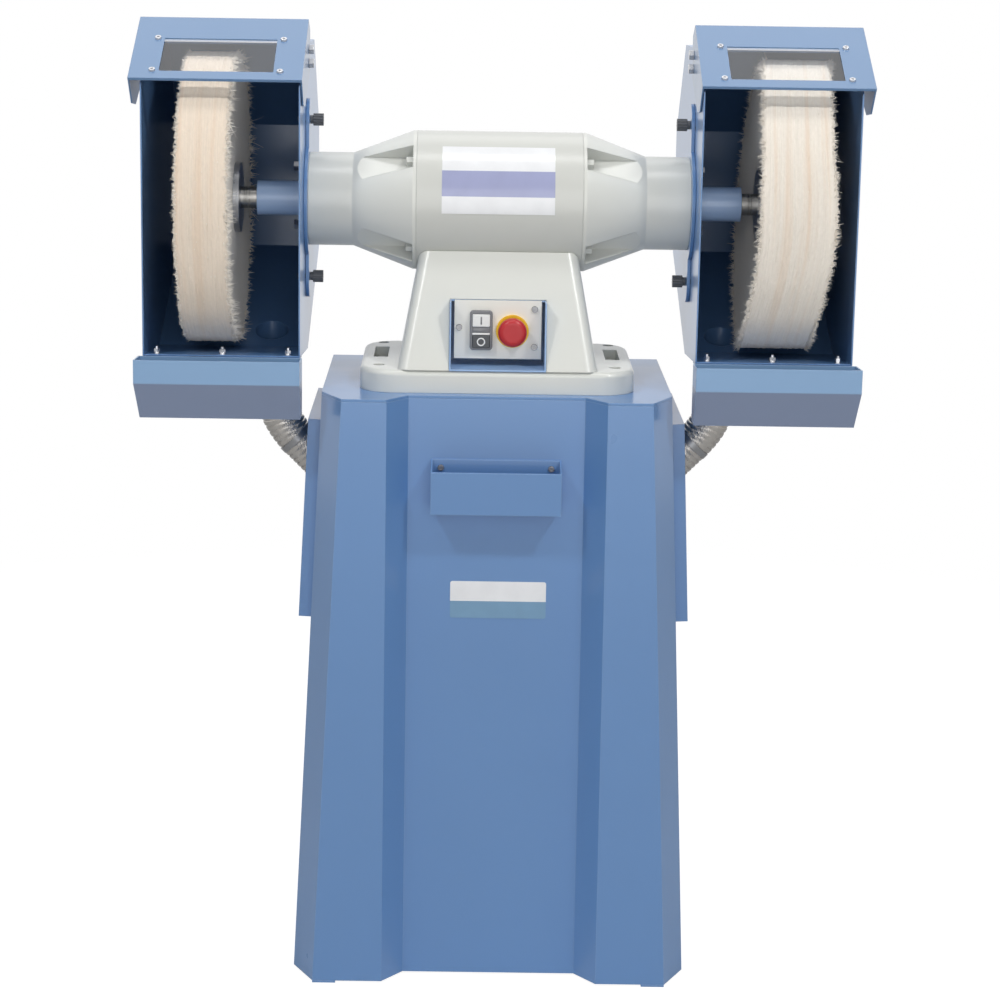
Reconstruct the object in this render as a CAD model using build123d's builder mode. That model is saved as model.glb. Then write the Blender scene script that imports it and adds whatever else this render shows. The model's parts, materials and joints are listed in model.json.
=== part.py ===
from build123d import *
import math
import os

# A pedestal polishing machine: a motor with a cotton wheel on each end of its spindle, a tilting
# dust hood around each wheel, and a sheet-metal cabinet with a suction fan inside.
# X runs along the spindle to the right, Y away from the operator and Z up. The origin lies on the
# floor, at the centre of the anchor holes and below the middle of the spindle. Lengths are in mm.

# Sheets and fits
sheet = 2.0
seat_gap = 0.3
weld_gap = 0.1
running_clearance = 0.05
hole_clearance = 0.1
full_turn = 360.0

# Cabinet
cabinet_height = 815.0
top_plate_thickness = 4.0
head_margin = 54.0
cabinet_flare = 35.0
front_foot = -242.0
front_top = -204.0
corner_width = 29.0
corner_depth = 57.0
column_inner = 148.5
recess_step = 29.0
recess_depth = 37.0
cabinet_back = 165.0

# Foot rails and floor anchors
rail_thickness = 3.0
rail_width = 32.0
anchor_radius = 6.0
anchor_head_radius = 10.2
anchor_spacing_y = 240.0

# Side covers that take the suction hoses
cover_bottom = 497.0
cover_top = 772.0
cover_front_bottom = -140.0
cover_front_top = -125.0
cover_back = 121.0
cover_proud = 18.0
inlet_width = 120.0
inlet_height = 60.0
inlet_bottom = 512.0

# Tool tray and front label plate
tool_tray_width = 176.0
tool_tray_bottom = 661.0
tool_tray_front_top = 719.0
tool_tray_back_top = 729.0
tool_tray_depth = 46.0
tool_tray_screw_spacing = 150.0
tool_tray_screw_height = 717.0
label_thickness = 0.6
front_label_width = 131.0
front_label_height = 51.0
front_label_middle = 535.0
front_label_x = 5.5
label_corner = 3.0

# Small screws on the cabinet
side_screw_y = -95.0
side_screw_drops = (8.0, 20.0)
back_screw_inset = 14.0
back_screw_heights = (260.0, 430.0, 590.0, 786.0)

# Spindle and motor
spindle_height = 1062.0
shaft_radius = 15.0
rotor_seat_radius = 18.0
rotor_seat_half = 95.0
wheel_seat_radius = 12.5
shaft_tip = 10.0
shaft_gap = 23.0
barrel_radius = 96.0
barrel_bore = 70.0
barrel_half = 114.0
bell_neck_radius = 64.5
bell_neck_length = 61.0
motor_half = 263.0
bell_cavity_radius = 58.0
bell_end_wall = 45.0
bell_flange = 5.0
shaft_hole_gap = 3.0
pocket_width = 38.0
pocket_floor = 67.0
bell_bolt_circle = 82.0
bell_bolt_count = 4
bell_bolt_first_angle = 45.0
stator_half = 62.0
air_gap = 0.8
rotor_radius = 42.0
winding_length = 26.0
winding_inset = 3.0
winding_edge = 5.0
motor_label_left = -79.0
motor_label_right = 75.0
motor_label_top_angle = 35.0
motor_label_arc = 60.0

# Ball bearings
bearing_radius = 31.0
bearing_width = 16.0
bearing_wall = 4.5
ball_radius = 3.6
ball_count = 9

# Wheels, flanges and nuts
wheel_diameter = 400.0
wheel_hub_width = 52.0
wheel_waist_radius = 112.0
wheel_edge = 6.0
flange_radius = 48.5
flange_thickness = 8.0
left_rim_width = 70.0
left_rim_shift = 4.0
right_rim_width = 104.0
right_rim_shift = 7.0
nut_radius = 20.5
nut_height = 18.0

# Motor base and pedestal column
base_width = 376.0
base_depth = 265.0
base_middle = -17.5
base_thickness = 31.0
base_corner = 48.0
base_edge = 7.0
column_foot_width = 272.0
column_foot_depth = 252.0
column_top_width = 216.0
column_top_depth = 152.0
column_top_drop = 62.0
column_corner = 16.0
casting_wall = 12.0
column_roof = 36.0
column_back_wall = 24.0
foot_hole_radius = 8.0
foot_hole_x = 162.0
foot_hole_front_inset = 47.0
foot_hole_back_inset = 22.0
foot_pocket_width = 20.0
foot_pocket_length = 90.0
foot_pocket_middle = 8.0
foot_pocket_depth = 18.0
foot_pocket_corner = 3.0
foot_bolt_spacing_y = 52.0

# Control recess and panel
recess_half_width = 66.0
recess_height = 92.0
recess_back = -60.0
panel_face = -110.0
panel_width = 119.0
panel_gap_below = 11.5
control_hole_radius = 11.2
button_x = -22.8
button_drop = 165.0
button_frame_width = 31.0
button_frame_height = 54.5
button_frame_proud = 7.0
button_width = 24.4
button_height = 17.6
start_rise = 13.8
stop_drop = 15.4
button_travel = 3.0
button_proud = 1.2
button_floor = 1.0
button_corner = 5.0
button_edge = 1.5
control_depth = 28.0
panel_screw_places = ((-53.0, 162.0), (50.0, 136.0), (50.0, 188.0))
post_radius = 5.0
stop_x = 19.8
stop_drop_from_spindle = 166.0
collar_radius = 22.4
collar_thickness = 4.0
mushroom_radius = 19.6
mushroom_height = 15.0
mushroom_gap = 5.6
plunger_radius = 9.0
plunger_neck_radius = 6.0
mushroom_back_edge = 1.2

# Hood brackets, guard tubes and clamp knobs
bracket_thickness = 4.5
bracket_disc_radius = 80.0
bracket_ear_radius = 29.0
knob_circle = 109.0
bracket_bolt_y = 38.0
bracket_bolt_z = 41.0
guard_radius = 24.0
guard_wall = 3.5
guard_length = 73.0
knob_radius = 8.5
knob_length = 14.0
knob_flutes = 12
knob_flute_radius = 1.2
knob_stud_tip = 2.0
knob_collar_radius = 6.0
knob_stud_radius = 4.0
knob_collar_length = 4.0
slot_half_angle = 16.0
slot_clearance = 0.4

# Hoods
hood_wall_gap = 0.3
hood_width = 213.0
hood_front = -148.0
hood_floor_front_drop = 201.0
hood_floor_back = 30.0
hood_floor_back_drop = 216.0
hood_throat = 100.0
hood_lower_fold_drop = 104.0
hood_upper_fold_rise = 79.0
hood_roof_back = 172.0
hood_roof_back_rise = 211.0
hood_roof_front = -52.0
hood_roof_front_rise = 215.0
hood_brow_rise = 164.0
hood_opening_radius = 68.0

# Lids and windows
lid_gap = 0.8
lid_overhang = 15.0
lid_back = -9.0
lid_back_rise = 246.0
lid_front = -157.0
lid_front_rise = 172.0
lid_lip = 2.0
flange_nose = -122.0
flange_nose_rise = 136.0
flange_tip = -84.0
flange_tip_rise = 132.0
flange_heel = 24.0
flange_heel_rise = 176.0
flange_heel_top_rise = 230.0
pivot_y = -2.0
pivot_rise = 205.0
pivot_radius = 4.0
lock_drop = 19.0
lock_radius = 3.0
lock_swing = 26.0
lock_play = 3.0
window_width = 152.0
window_height = 88.0
window_middle = 102.0
window_margin = 16.0
window_thickness = 3.0
window_screw_margin = 9.0
window_screw_y = 43.0
window_corner = 1.5

# Lint trays below the hood mouths
tray_front = -205.0
tray_top_drop = 198.0
tray_bend_drop = 230.0
tray_bottom_front = -187.0
tray_bottom_drop = 279.0
tray_back = -150.0
tray_flange = 38.0
tray_inner_overhang = 3.0
tray_outer_overhang = 6.0
tray_taper = 6.0
tray_screw_inset = 17.0
tray_screw_setback = 18.0

# Suction hoses and their spigots
hose_radius = 27.0
hose_wall = 1.85
hose_offset = 54.0
hose_y = 70.0
hose_top_drop = 217.0
hose_entry = 685.0
hose_bend_left = 130.0
hose_bend_right = 110.0
spigot_wall = 1.5
hood_spigot_drop = 236.0
cover_spigot_length = 26.0
clamp_width = 9.0
clamp_thickness = 1.2
clamp_inset = 3.0

# Suction fan, filter and dust drawer
shelf_height = 608.0
shelf_thickness = 4.0
fan_y = 10.0
fan_radius = 115.0
fan_height = 75.0
fan_inlet_radius = 50.0
fan_outlet_width = 90.0
fan_outlet_height = 50.0
fan_outlet_x = 62.0
fan_motor_radius = 62.0
fan_motor_height = 95.0
fan_motor_edge = 8.0
fan_shaft_length = 48.0
fan_shaft_room = 57.0
impeller_radius = 88.0
impeller_gap = 8.0
impeller_shaft_radius = 6.0
impeller_hub_radius = 12.0
impeller_blades = 9
impeller_blade_angle = 35.0
filter_radius = 95.0
filter_bore = 60.0
filter_length = 262.0
filter_cap = 12.0
filter_pleats = 24
filter_pleat_depth = 8.0
filter_pleat_gap = 6.0
drawer_side_gap = 12.0
drawer_depth = 330.0
drawer_bottom = 25.0
drawer_height = 175.0
drawer_front_margin = 12.0
drawer_handle_width = 110.0
drawer_handle_reach = 28.0
drawer_handle_bar = 12.0
runner_width = 26.0
gland_radius = 11.0
gland_x = 170.0
gland_height = 330.0
gland_thread_radius = 8.0
gland_bore_radius = 5.0
gland_flange = 5.0
gland_length = 16.0
louvre_pitch = 10.0
louvre_height = 5.0
louvre_count = 4

# Fasteners
small_head_radius = 4.6
small_head_height = 2.6
small_shank_radius = 2.5
socket_radius = 2.1
socket_depth = 1.6
socket_taper = 12.0
bolt_head_radius = 7.2
bolt_head_height = 6.5
bolt_shank_radius = 4.0
screw_depth = 7.0
bell_bolt_depth = 18.0
bell_bolt_head = 9.0
foot_bolt_length = 26.0
pivot_nut = 5.0
bracket_bolt_depth = 20.0
long_bolt_head = 20.5

# Derived places
wheel_radius = wheel_diameter / 2
column_half_top = motor_half - head_margin
column_half_foot = column_half_top + cabinet_flare
drawer_half_width = column_half_foot - drawer_side_gap
shell_top = cabinet_height - top_plate_thickness
hood_inner = motor_half + bracket_thickness + hood_wall_gap
hood_outer = hood_inner + hood_width
bell_neck_start = motor_half - bell_neck_length
guard_end = motor_half + guard_length
flange_face = guard_end + shaft_gap
hub_start = flange_face + flange_thickness
hub_end = hub_start + wheel_hub_width
shaft_half = hub_end + flange_thickness + nut_height + shaft_tip
lid_inner = hood_inner - lid_gap - sheet
lid_outer = hood_outer + lid_overhang
tray_inner = hood_inner - tray_inner_overhang
tray_outer = hood_outer + tray_outer_overhang
hose_x = hood_inner + hose_offset
spigot_radius = hose_radius - hose_wall - hole_clearance
base_top = cabinet_height + base_thickness
column_top = spindle_height - column_top_drop
column_middle = base_middle - (base_depth - column_foot_depth) / 2 + seat_gap
foot_hole_middle = base_middle + (foot_hole_front_inset - foot_hole_back_inset) / 2
foot_hole_spacing_y = base_depth - foot_hole_front_inset - foot_hole_back_inset
column_front_foot = column_middle - column_foot_depth / 2
spindle_axis = Axis((0, 0, spindle_height), (1, 0, 0))
small_hole_radius = small_shank_radius + hole_clearance
bolt_hole_radius = bolt_shank_radius + hole_clearance
bell_bolt_angles = [
    bell_bolt_first_angle + full_turn * index / bell_bolt_count for index in range(bell_bolt_count)
]
quarter_turn = full_turn / 4

os.makedirs("parts", exist_ok=True)


# Helpers


def save(part, name):
    """Label one finished piece and write it."""
    part.label = name
    export_step(part, f"parts/{name}.step")


def save_pair(name, right_part):
    """Write a right-hand piece and its mirror image on the left."""
    with BuildPart() as left:
        mirror(right_part, about=Plane.YZ)
    save(right_part, f"{name}_right")
    save(left.part, f"{name}_left")


def moved_edges(points, distances):
    """Corners of a counter-clockwise polygon after each edge moves inwards by its distance."""
    lines = []
    for index, (x, y) in enumerate(points):
        next_x, next_y = points[(index + 1) % len(points)]
        run = Vector(next_x - x, next_y - y).normalized()
        shift = distances[index]
        lines.append((x - run.Y * shift, y + run.X * shift, run.X, run.Y))
    corners = []
    for index, (x, y, run_x, run_y) in enumerate(lines):
        last_x, last_y, last_run_x, last_run_y = lines[index - 1]
        cross = last_run_x * run_y - last_run_y * run_x
        travel = ((x - last_x) * run_y - (y - last_y) * run_x) / cross
        corners.append((last_x + travel * last_run_x, last_y + travel * last_run_y))
    return corners


def facing_right(x, y=0.0, z=0.0):
    """Plane that faces +X, with its own axes along Y and Z."""
    return Plane(origin=(x, y, z), x_dir=(0, 1, 0), z_dir=(1, 0, 0))


def facing_left(x, y=0.0, z=0.0):
    """Plane that faces -X, with its own axes along -Y and Z."""
    return Plane(origin=(x, y, z), x_dir=(0, -1, 0), z_dir=(-1, 0, 0))


def facing_front(y, x=0.0, z=0.0):
    """Plane that faces the operator, with its own axes along X and Z."""
    return Plane(origin=(x, y, z), x_dir=(1, 0, 0), z_dir=(0, -1, 0))


def facing_back(y, x=0.0, z=0.0):
    """Plane that faces away from the operator, with its own axes along -X and Z."""
    return Plane(origin=(x, y, z), x_dir=(-1, 0, 0), z_dir=(0, 1, 0))


def around_spindle(angle=0.0):
    """Plane through the spindle: its own axes run along X and outwards, angle from up to the front."""
    turn = math.radians(angle)
    return Plane(
        origin=(0, 0, spindle_height), x_dir=(1, 0, 0), z_dir=(0, -math.cos(turn), -math.sin(turn))
    )


def turned(points, mode=Mode.ADD):
    """Solid turned about the spindle from a profile of distances along X and radii."""
    with BuildSketch(around_spindle()) as profile:
        Polygon(*points)
    revolve(profile.sketch, axis=spindle_axis, mode=mode)


def disc(plane, radius, height, mode=Mode.ADD):
    """Round bar that stands on a plane."""
    with BuildSketch(plane) as face:
        Circle(radius)
    extrude(face.sketch, amount=height, mode=mode)


def block(plane, points, height, mode=Mode.ADD):
    """Straight-sided solid that stands on a plane."""
    with BuildSketch(plane) as face:
        Polygon(*points)
    extrude(face.sketch, amount=height, mode=mode)


def drill(plane, radius, depth=screw_depth):
    """Round hole through what lies on both sides of a plane."""
    disc(plane.offset(-depth), radius, 2 * depth, Mode.SUBTRACT)


def rectangle(left, right, bottom, top):
    """Corners of an upright rectangle, counter-clockwise."""
    return [(left, bottom), (right, bottom), (right, top), (left, top)]


def small_screw(plane, shank_length=screw_depth):
    """Sheet-metal screw with a hexagon socket; its head stands on the plane."""
    with BuildSketch(plane) as head:
        Circle(small_head_radius)
    extrude(head.sketch, amount=small_head_height, taper=socket_taper)
    with BuildSketch(plane.offset(small_head_height)) as socket:
        RegularPolygon(socket_radius, 6)
    extrude(socket.sketch, amount=-socket_depth, mode=Mode.SUBTRACT)
    disc(plane, small_shank_radius, -shank_length)


def hexagon_bolt(plane, head_height, shank_length, shank_radius=bolt_shank_radius):
    """Hexagon bolt; its head stands on the plane."""
    with BuildSketch(plane) as head:
        RegularPolygon(bolt_head_radius, 6)
    extrude(head.sketch, amount=head_height)
    disc(plane, shank_radius, -shank_length)


# Cabinet


def between(foot, top, height):
    """Value at a height of something that changes evenly from the floor to the cabinet's top."""
    return foot + (top - foot) * height / cabinet_height


def side_at(height):
    """Half width of the cabinet over its corners."""
    return between(column_half_foot, column_half_top, height) + corner_width


def recess_at(height):
    """Y of the recessed middle panel of the cabinet's front."""
    return between(front_foot, front_top, height) + recess_depth


def cabinet_outline(height):
    """Plan of the cabinet at a height, counter-clockwise from its back right corner."""
    column = between(column_half_foot, column_half_top, height)
    front = between(front_foot, front_top, height)
    right = [
        (column_inner - recess_step, front + recess_depth),
        (column_inner, front),
        (column, front),
        (column + corner_width, front + corner_depth),
        (column + corner_width, cabinet_back),
    ]
    left = [(-x, y) for x, y in reversed(right)]
    return left + right


def cabinet_inside(height, wall, back_wall):
    """Plan of the space inside the cabinet's walls."""
    outline = cabinet_outline(height)
    return moved_edges(outline, [wall] * (len(outline) - 1) + [back_wall])


side_tilt = math.atan((column_half_foot - column_half_top) / cabinet_height)
front_tilt = math.atan((front_top - front_foot) / cabinet_height)


def on_side(y, height, side=1):
    """Plane on one side of the cabinet, facing out."""
    return Plane(
        origin=(side * side_at(height), y, height),
        x_dir=(0, side, 0),
        z_dir=(side * math.cos(side_tilt), 0, math.sin(side_tilt)),
    )


def on_recess(x, height):
    """Plane on the recessed middle panel of the front, facing out."""
    return Plane(
        origin=(x, recess_at(height), height),
        x_dir=(1, 0, 0),
        z_dir=(0, -math.cos(front_tilt), math.sin(front_tilt)),
    )


tool_tray_screws = [
    on_recess(x, tool_tray_screw_height).offset(sheet)
    for x in (-tool_tray_screw_spacing / 2, tool_tray_screw_spacing / 2)
]
side_screws = [
    on_side(side_screw_y, cover_bottom - drop, side) for side in (-1, 1) for drop in side_screw_drops
]
back_screws = [
    facing_back(cabinet_back + sheet, side * (side_at(height) - back_screw_inset), height)
    for side in (-1, 1)
    for height in back_screw_heights
]
drawer_top = drawer_bottom + drawer_height
fan_floor = shelf_height + shelf_thickness
outlet_middle = fan_floor + fan_height / 2
foot_bolts = [
    Plane.XY.offset(base_top - foot_pocket_depth).move(Location((x, foot_pocket_middle + y, 0)))
    for x in (-foot_hole_x, foot_hole_x)
    for y in (-foot_bolt_spacing_y / 2, foot_bolt_spacing_y / 2)
]

with BuildPart() as cabinet_shell:
    for height in (rail_thickness, shell_top):
        with BuildSketch(Plane.XY.offset(height)):
            Polygon(*cabinet_outline(height))
    loft(ruled=True)
    for height in (rail_thickness - sheet, shell_top + sheet):
        with BuildSketch(Plane.XY.offset(height)):
            Polygon(*cabinet_inside(height, sheet, -sheet))
    loft(ruled=True, mode=Mode.SUBTRACT)
    inlet = rectangle(-inlet_width / 2, inlet_width / 2, inlet_bottom, inlet_bottom + inlet_height)
    block(facing_right(-side_at(0)), inlet, 2 * side_at(0), Mode.SUBTRACT)
    for plane in tool_tray_screws + side_screws:
        drill(plane, small_hole_radius)
save(cabinet_shell.part, "cabinet_shell")

with BuildPart() as cabinet_top_plate:
    with BuildSketch(Plane.XY.offset(shell_top)):
        Polygon(*cabinet_outline(shell_top))
    extrude(amount=top_plate_thickness)
    for plane in foot_bolts:
        drill(plane, bolt_hole_radius, base_thickness)
save(cabinet_top_plate.part, "cabinet_top_plate")

rail_middle = column_half_foot - rail_width / 2
with BuildPart() as foot_rails:
    for side in (-1, 1):
        rail = rectangle(
            side * rail_middle - rail_width / 2,
            side * rail_middle + rail_width / 2,
            front_foot,
            cabinet_back + sheet,
        )
        block(Plane.XY, rail, rail_thickness)
        for y in (-anchor_spacing_y / 2, anchor_spacing_y / 2):
            drill(Plane.XY.move(Location((side * rail_middle, y, 0))), anchor_radius)
save(foot_rails.part, "foot_rails")

with BuildPart() as cabinet_back_panel:
    corners = [(side_at(height), height) for height in (rail_thickness, shell_top)]
    block(facing_back(cabinet_back), corners + [(-x, z) for x, z in reversed(corners)], sheet)
    drawer_hole = rectangle(
        -drawer_half_width - sheet, drawer_half_width + sheet, drawer_bottom - sheet, drawer_top + sheet
    )
    block(facing_back(cabinet_back), drawer_hole, sheet, Mode.SUBTRACT)
    with BuildSketch(facing_back(cabinet_back, fan_outlet_x, outlet_middle)):
        with GridLocations(0, louvre_pitch, 1, louvre_count):
            SlotOverall(fan_outlet_width - louvre_pitch, louvre_height)
    extrude(amount=sheet, mode=Mode.SUBTRACT)
    drill(facing_back(cabinet_back, gland_x, gland_height), gland_thread_radius + hole_clearance)
    for plane in back_screws:
        drill(plane, small_hole_radius)
save(cabinet_back_panel.part, "cabinet_back_panel")

with BuildPart() as cable_gland:
    gland_inside = facing_back(cabinet_back, gland_x, gland_height)
    gland_outside = gland_inside.offset(sheet)
    for plane, length in ((gland_outside, gland_flange), (gland_inside, -gland_flange)):
        with BuildSketch(plane):
            RegularPolygon(gland_radius + gland_flange / 2, 6)
        extrude(amount=length)
    disc(gland_outside, gland_radius, gland_length)
    disc(gland_inside.offset(-gland_length), gland_thread_radius, 2 * gland_length)
    drill(gland_inside, gland_bore_radius, 2 * gland_length)
save(cable_gland.part, "cable_gland")

# Side covers: flat boxes on the cabinet's sides, each with a slanting spigot for the hose

cover_plane = on_side(0, cover_bottom)
cover_rise = (cover_top - cover_bottom) / math.cos(side_tilt)
cover_outline = [
    (cover_front_bottom, 0),
    (cover_back, 0),
    (cover_back, cover_rise),
    (cover_front_top, cover_rise),
]
hose_entry_x = side_at(hose_entry) + cover_proud / math.cos(side_tilt)
spigot_plane = Plane(origin=(hose_entry_x, hose_y, hose_entry), x_dir=(0, 1, 0), z_dir=(1, 0, 1))
with BuildPart() as side_cover_right:
    block(cover_plane, cover_outline, cover_proud)
    disc(spigot_plane.offset(-hose_radius), spigot_radius, hose_radius + cover_spigot_length)
    block(
        cover_plane.offset(-2 * cover_proud),
        moved_edges(cover_outline, [sheet] * 4),
        3 * cover_proud - sheet,
        Mode.SUBTRACT,
    )
    drill(spigot_plane, spigot_radius - spigot_wall, 2 * hose_radius)
save_pair("side_cover", side_cover_right.part)

# Tool tray and label plates

with BuildPart() as tool_tray:
    profile = [
        (recess_at(tool_tray_back_top) - tool_tray_depth, tool_tray_bottom),
        (recess_at(tool_tray_bottom), tool_tray_bottom),
        (recess_at(tool_tray_back_top), tool_tray_back_top),
        (recess_at(tool_tray_back_top) - tool_tray_depth, tool_tray_front_top),
    ]
    block(facing_right(-tool_tray_width / 2), profile, tool_tray_width)
    hollow = moved_edges(profile, [sheet, sheet, -tool_tray_depth, sheet])
    block(
        facing_right(-tool_tray_width / 2 + sheet), hollow, tool_tray_width - 2 * sheet, Mode.SUBTRACT
    )
    for plane in tool_tray_screws:
        drill(plane, small_hole_radius)
save(tool_tray.part, "tool_tray")

with BuildPart() as label_plates:
    with BuildSketch(on_recess(0, front_label_middle)):
        with Locations((front_label_x, 0)):
            RectangleRounded(front_label_width, front_label_height, label_corner)
    extrude(amount=label_thickness)
    with BuildSketch(around_spindle(motor_label_top_angle)) as band:
        Polygon(
            *rectangle(
                motor_label_left,
                motor_label_right,
                barrel_radius + running_clearance,
                barrel_radius + running_clearance + label_thickness,
            )
        )
    revolve(band.sketch, axis=spindle_axis, revolution_arc=motor_label_arc)
save(label_plates.part, "label_plates")

# Suction fan, filter and dust drawer inside the cabinet

with BuildPart() as fan_shelf:
    with BuildSketch(Plane.XY.offset(shelf_height)):
        Polygon(*cabinet_inside(fan_floor, sheet + seat_gap, seat_gap))
        with Locations((0, fan_y)):
            Circle(fan_inlet_radius, mode=Mode.SUBTRACT)
    extrude(amount=shelf_thickness)
save(fan_shelf.part, "fan_shelf")

fan_plane = Plane.XY.offset(fan_floor).move(Location((0, fan_y, 0)))
outlet_length = cabinet_back - seat_gap - fan_y
with BuildPart() as fan_housing:
    disc(fan_plane, fan_radius, fan_height)
    outlet_plane = facing_back(fan_y, fan_outlet_x, outlet_middle)
    half_width = fan_outlet_width / 2
    half_height = fan_outlet_height / 2
    block(outlet_plane, rectangle(-half_width, half_width, -half_height, half_height), outlet_length)
    block(
        outlet_plane,
        rectangle(sheet - half_width, half_width - sheet, sheet - half_height, half_height - sheet),
        outlet_length,
        Mode.SUBTRACT,
    )
    disc(fan_plane.offset(sheet), fan_radius - sheet, fan_height - 2 * sheet, Mode.SUBTRACT)
    drill(fan_plane, fan_inlet_radius)
    drill(fan_plane.offset(fan_height), impeller_shaft_radius + 2 * sheet)
save(fan_housing.part, "fan_housing")

with BuildPart() as fan_motor:
    disc(fan_plane.offset(fan_height), fan_motor_radius, fan_motor_height)
    fillet(fan_motor.faces().sort_by(Axis.Z)[-1].edges(), fan_motor_edge)
    disc(
        fan_plane.offset(fan_height),
        impeller_shaft_radius + running_clearance,
        fan_shaft_room,
        Mode.SUBTRACT,
    )
save(fan_motor.part, "fan_motor")

impeller_height = fan_height - 2 * sheet - 2 * impeller_gap
impeller_plane = fan_plane.offset(sheet + impeller_gap)
with BuildPart() as fan_impeller:
    disc(impeller_plane.offset(impeller_height - sheet), impeller_radius, sheet)
    with BuildSketch(impeller_plane):
        with PolarLocations((impeller_radius + fan_inlet_radius) / 2, impeller_blades):
            Rectangle(impeller_radius - fan_inlet_radius, sheet, rotation=impeller_blade_angle)
    extrude(amount=impeller_height - sheet)
    with BuildSketch(impeller_plane):
        Circle(impeller_radius)
        Circle(fan_inlet_radius + sheet, mode=Mode.SUBTRACT)
    extrude(amount=sheet)
    disc(impeller_plane.offset(impeller_height - sheet), impeller_hub_radius, -impeller_gap)
    disc(
        impeller_plane.offset(impeller_height - sheet),
        impeller_shaft_radius,
        impeller_gap + 2 * sheet + fan_shaft_length,
    )
save(fan_impeller.part, "fan_impeller")

with BuildPart() as filter_cartridge:
    filter_plane = Plane.XY.offset(shelf_height - filter_length).move(Location((0, fan_y, 0)))
    with BuildSketch(filter_plane):
        Circle(filter_radius)
    extrude(amount=filter_length - seat_gap)
    disc(filter_plane.offset(shelf_thickness), filter_bore, filter_length, Mode.SUBTRACT)
    with BuildSketch(filter_plane.offset(filter_cap)):
        with PolarLocations(filter_radius, filter_pleats):
            Rectangle(2 * filter_pleat_depth, filter_pleat_gap)
    extrude(amount=filter_length - 2 * filter_cap, mode=Mode.SUBTRACT)
save(filter_cartridge.part, "filter_cartridge")

with BuildPart() as drawer_runners:
    for side in (-1, 1):
        runner = rectangle(
            side * rail_middle - runner_width / 2,
            side * rail_middle + runner_width / 2,
            cabinet_back - drawer_depth,
            cabinet_back - seat_gap,
        )
        block(Plane.XY.offset(rail_thickness), runner, drawer_bottom - seat_gap - rail_thickness)
        for y in (-anchor_spacing_y / 2, anchor_spacing_y / 2):
            drill(
                Plane.XY.offset(rail_thickness).move(Location((side * rail_middle, y, 0))),
                anchor_head_radius,
                drawer_bottom,
            )
save(drawer_runners.part, "drawer_runners")

with BuildPart() as dust_drawer:
    drawer_end = cabinet_back + sheet + seat_gap
    tub = rectangle(-drawer_half_width, drawer_half_width, cabinet_back - drawer_depth, drawer_end)
    block(Plane.XY.offset(drawer_bottom), tub, drawer_height)
    block(
        Plane.XY.offset(drawer_bottom + sheet),
        moved_edges(tub, [sheet, sheet, seat_gap, sheet]),
        drawer_height,
        Mode.SUBTRACT,
    )
    front_plate = rectangle(
        -drawer_half_width - drawer_front_margin,
        drawer_half_width + drawer_front_margin,
        drawer_bottom - drawer_front_margin,
        drawer_top + drawer_front_margin,
    )
    block(facing_back(drawer_end), front_plate, sheet)
    with BuildSketch(Plane.XY.offset(drawer_bottom + drawer_height / 2)):
        with Locations((0, drawer_end + sheet + drawer_handle_reach / 2)):
            Rectangle(drawer_handle_width, drawer_handle_reach)
            with Locations((0, -drawer_handle_bar / 2)):
                Rectangle(
                    drawer_handle_width - 2 * drawer_handle_bar,
                    drawer_handle_reach - drawer_handle_bar,
                    mode=Mode.SUBTRACT,
                )
    extrude(amount=drawer_handle_bar / 2, both=True)
save(dust_drawer.part, "dust_drawer")

# Motor base with its pedestal column


def column_front_at(height):
    """Y of the pedestal's front face, which leans back towards the motor."""
    lean = (column_foot_depth - column_top_depth) / 2 + column_middle
    return column_front_foot - lean * (height - base_top) / (base_top - column_top)


with BuildPart() as motor_base:
    with BuildSketch(Plane.XY.offset(cabinet_height)):
        with Locations((0, base_middle)):
            RectangleRounded(base_width, base_depth, base_corner)
    extrude(amount=base_thickness)
    fillet(motor_base.faces().sort_by(Axis.Z)[-1].edges(), base_edge)
    with BuildSketch(Plane.XY.offset(base_top)):
        with Locations((0, column_middle)):
            RectangleRounded(column_foot_width, column_foot_depth, column_corner)
    with BuildSketch(Plane.XY.offset(column_top)):
        RectangleRounded(column_top_width, column_top_depth, column_corner)
    loft()
    with BuildSketch(Plane.XY.offset(cabinet_height)):
        with Locations((0, column_middle)):
            RectangleRounded(
                column_foot_width - 2 * casting_wall, column_foot_depth - 2 * casting_wall, column_corner
            )
    with BuildSketch(Plane.XY.offset(column_top - column_roof)):
        RectangleRounded(
            column_top_width - 2 * casting_wall,
            column_top_depth - casting_wall - column_back_wall,
            column_corner,
        )
    loft(mode=Mode.SUBTRACT)
    with BuildSketch(facing_right(0, 0, spindle_height)):
        Circle(barrel_radius + hole_clearance)
    extrude(amount=base_width, both=True, mode=Mode.SUBTRACT)
    recess = rectangle(-recess_half_width, recess_half_width, base_top, base_top + recess_height)
    block(facing_front(recess_back), recess, base_depth, Mode.SUBTRACT)
    with BuildSketch(Plane.XY.offset(base_top - foot_pocket_depth)):
        with Locations((0, foot_pocket_middle)):
            with GridLocations(2 * foot_hole_x, 0, 2, 1):
                RectangleRounded(foot_pocket_width, foot_pocket_length, foot_pocket_corner)
    extrude(amount=base_thickness, mode=Mode.SUBTRACT)
    with BuildSketch(Plane.XY.offset(cabinet_height)):
        with Locations((0, foot_hole_middle)):
            with GridLocations(2 * foot_hole_x, foot_hole_spacing_y, 2, 2):
                Circle(foot_hole_radius)
    extrude(amount=base_thickness, mode=Mode.SUBTRACT)
    for plane in foot_bolts:
        drill(plane, bolt_hole_radius, base_thickness)
save(motor_base.part, "motor_base")

# Motor: barrel, end bells, windings and ball bearings

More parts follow.
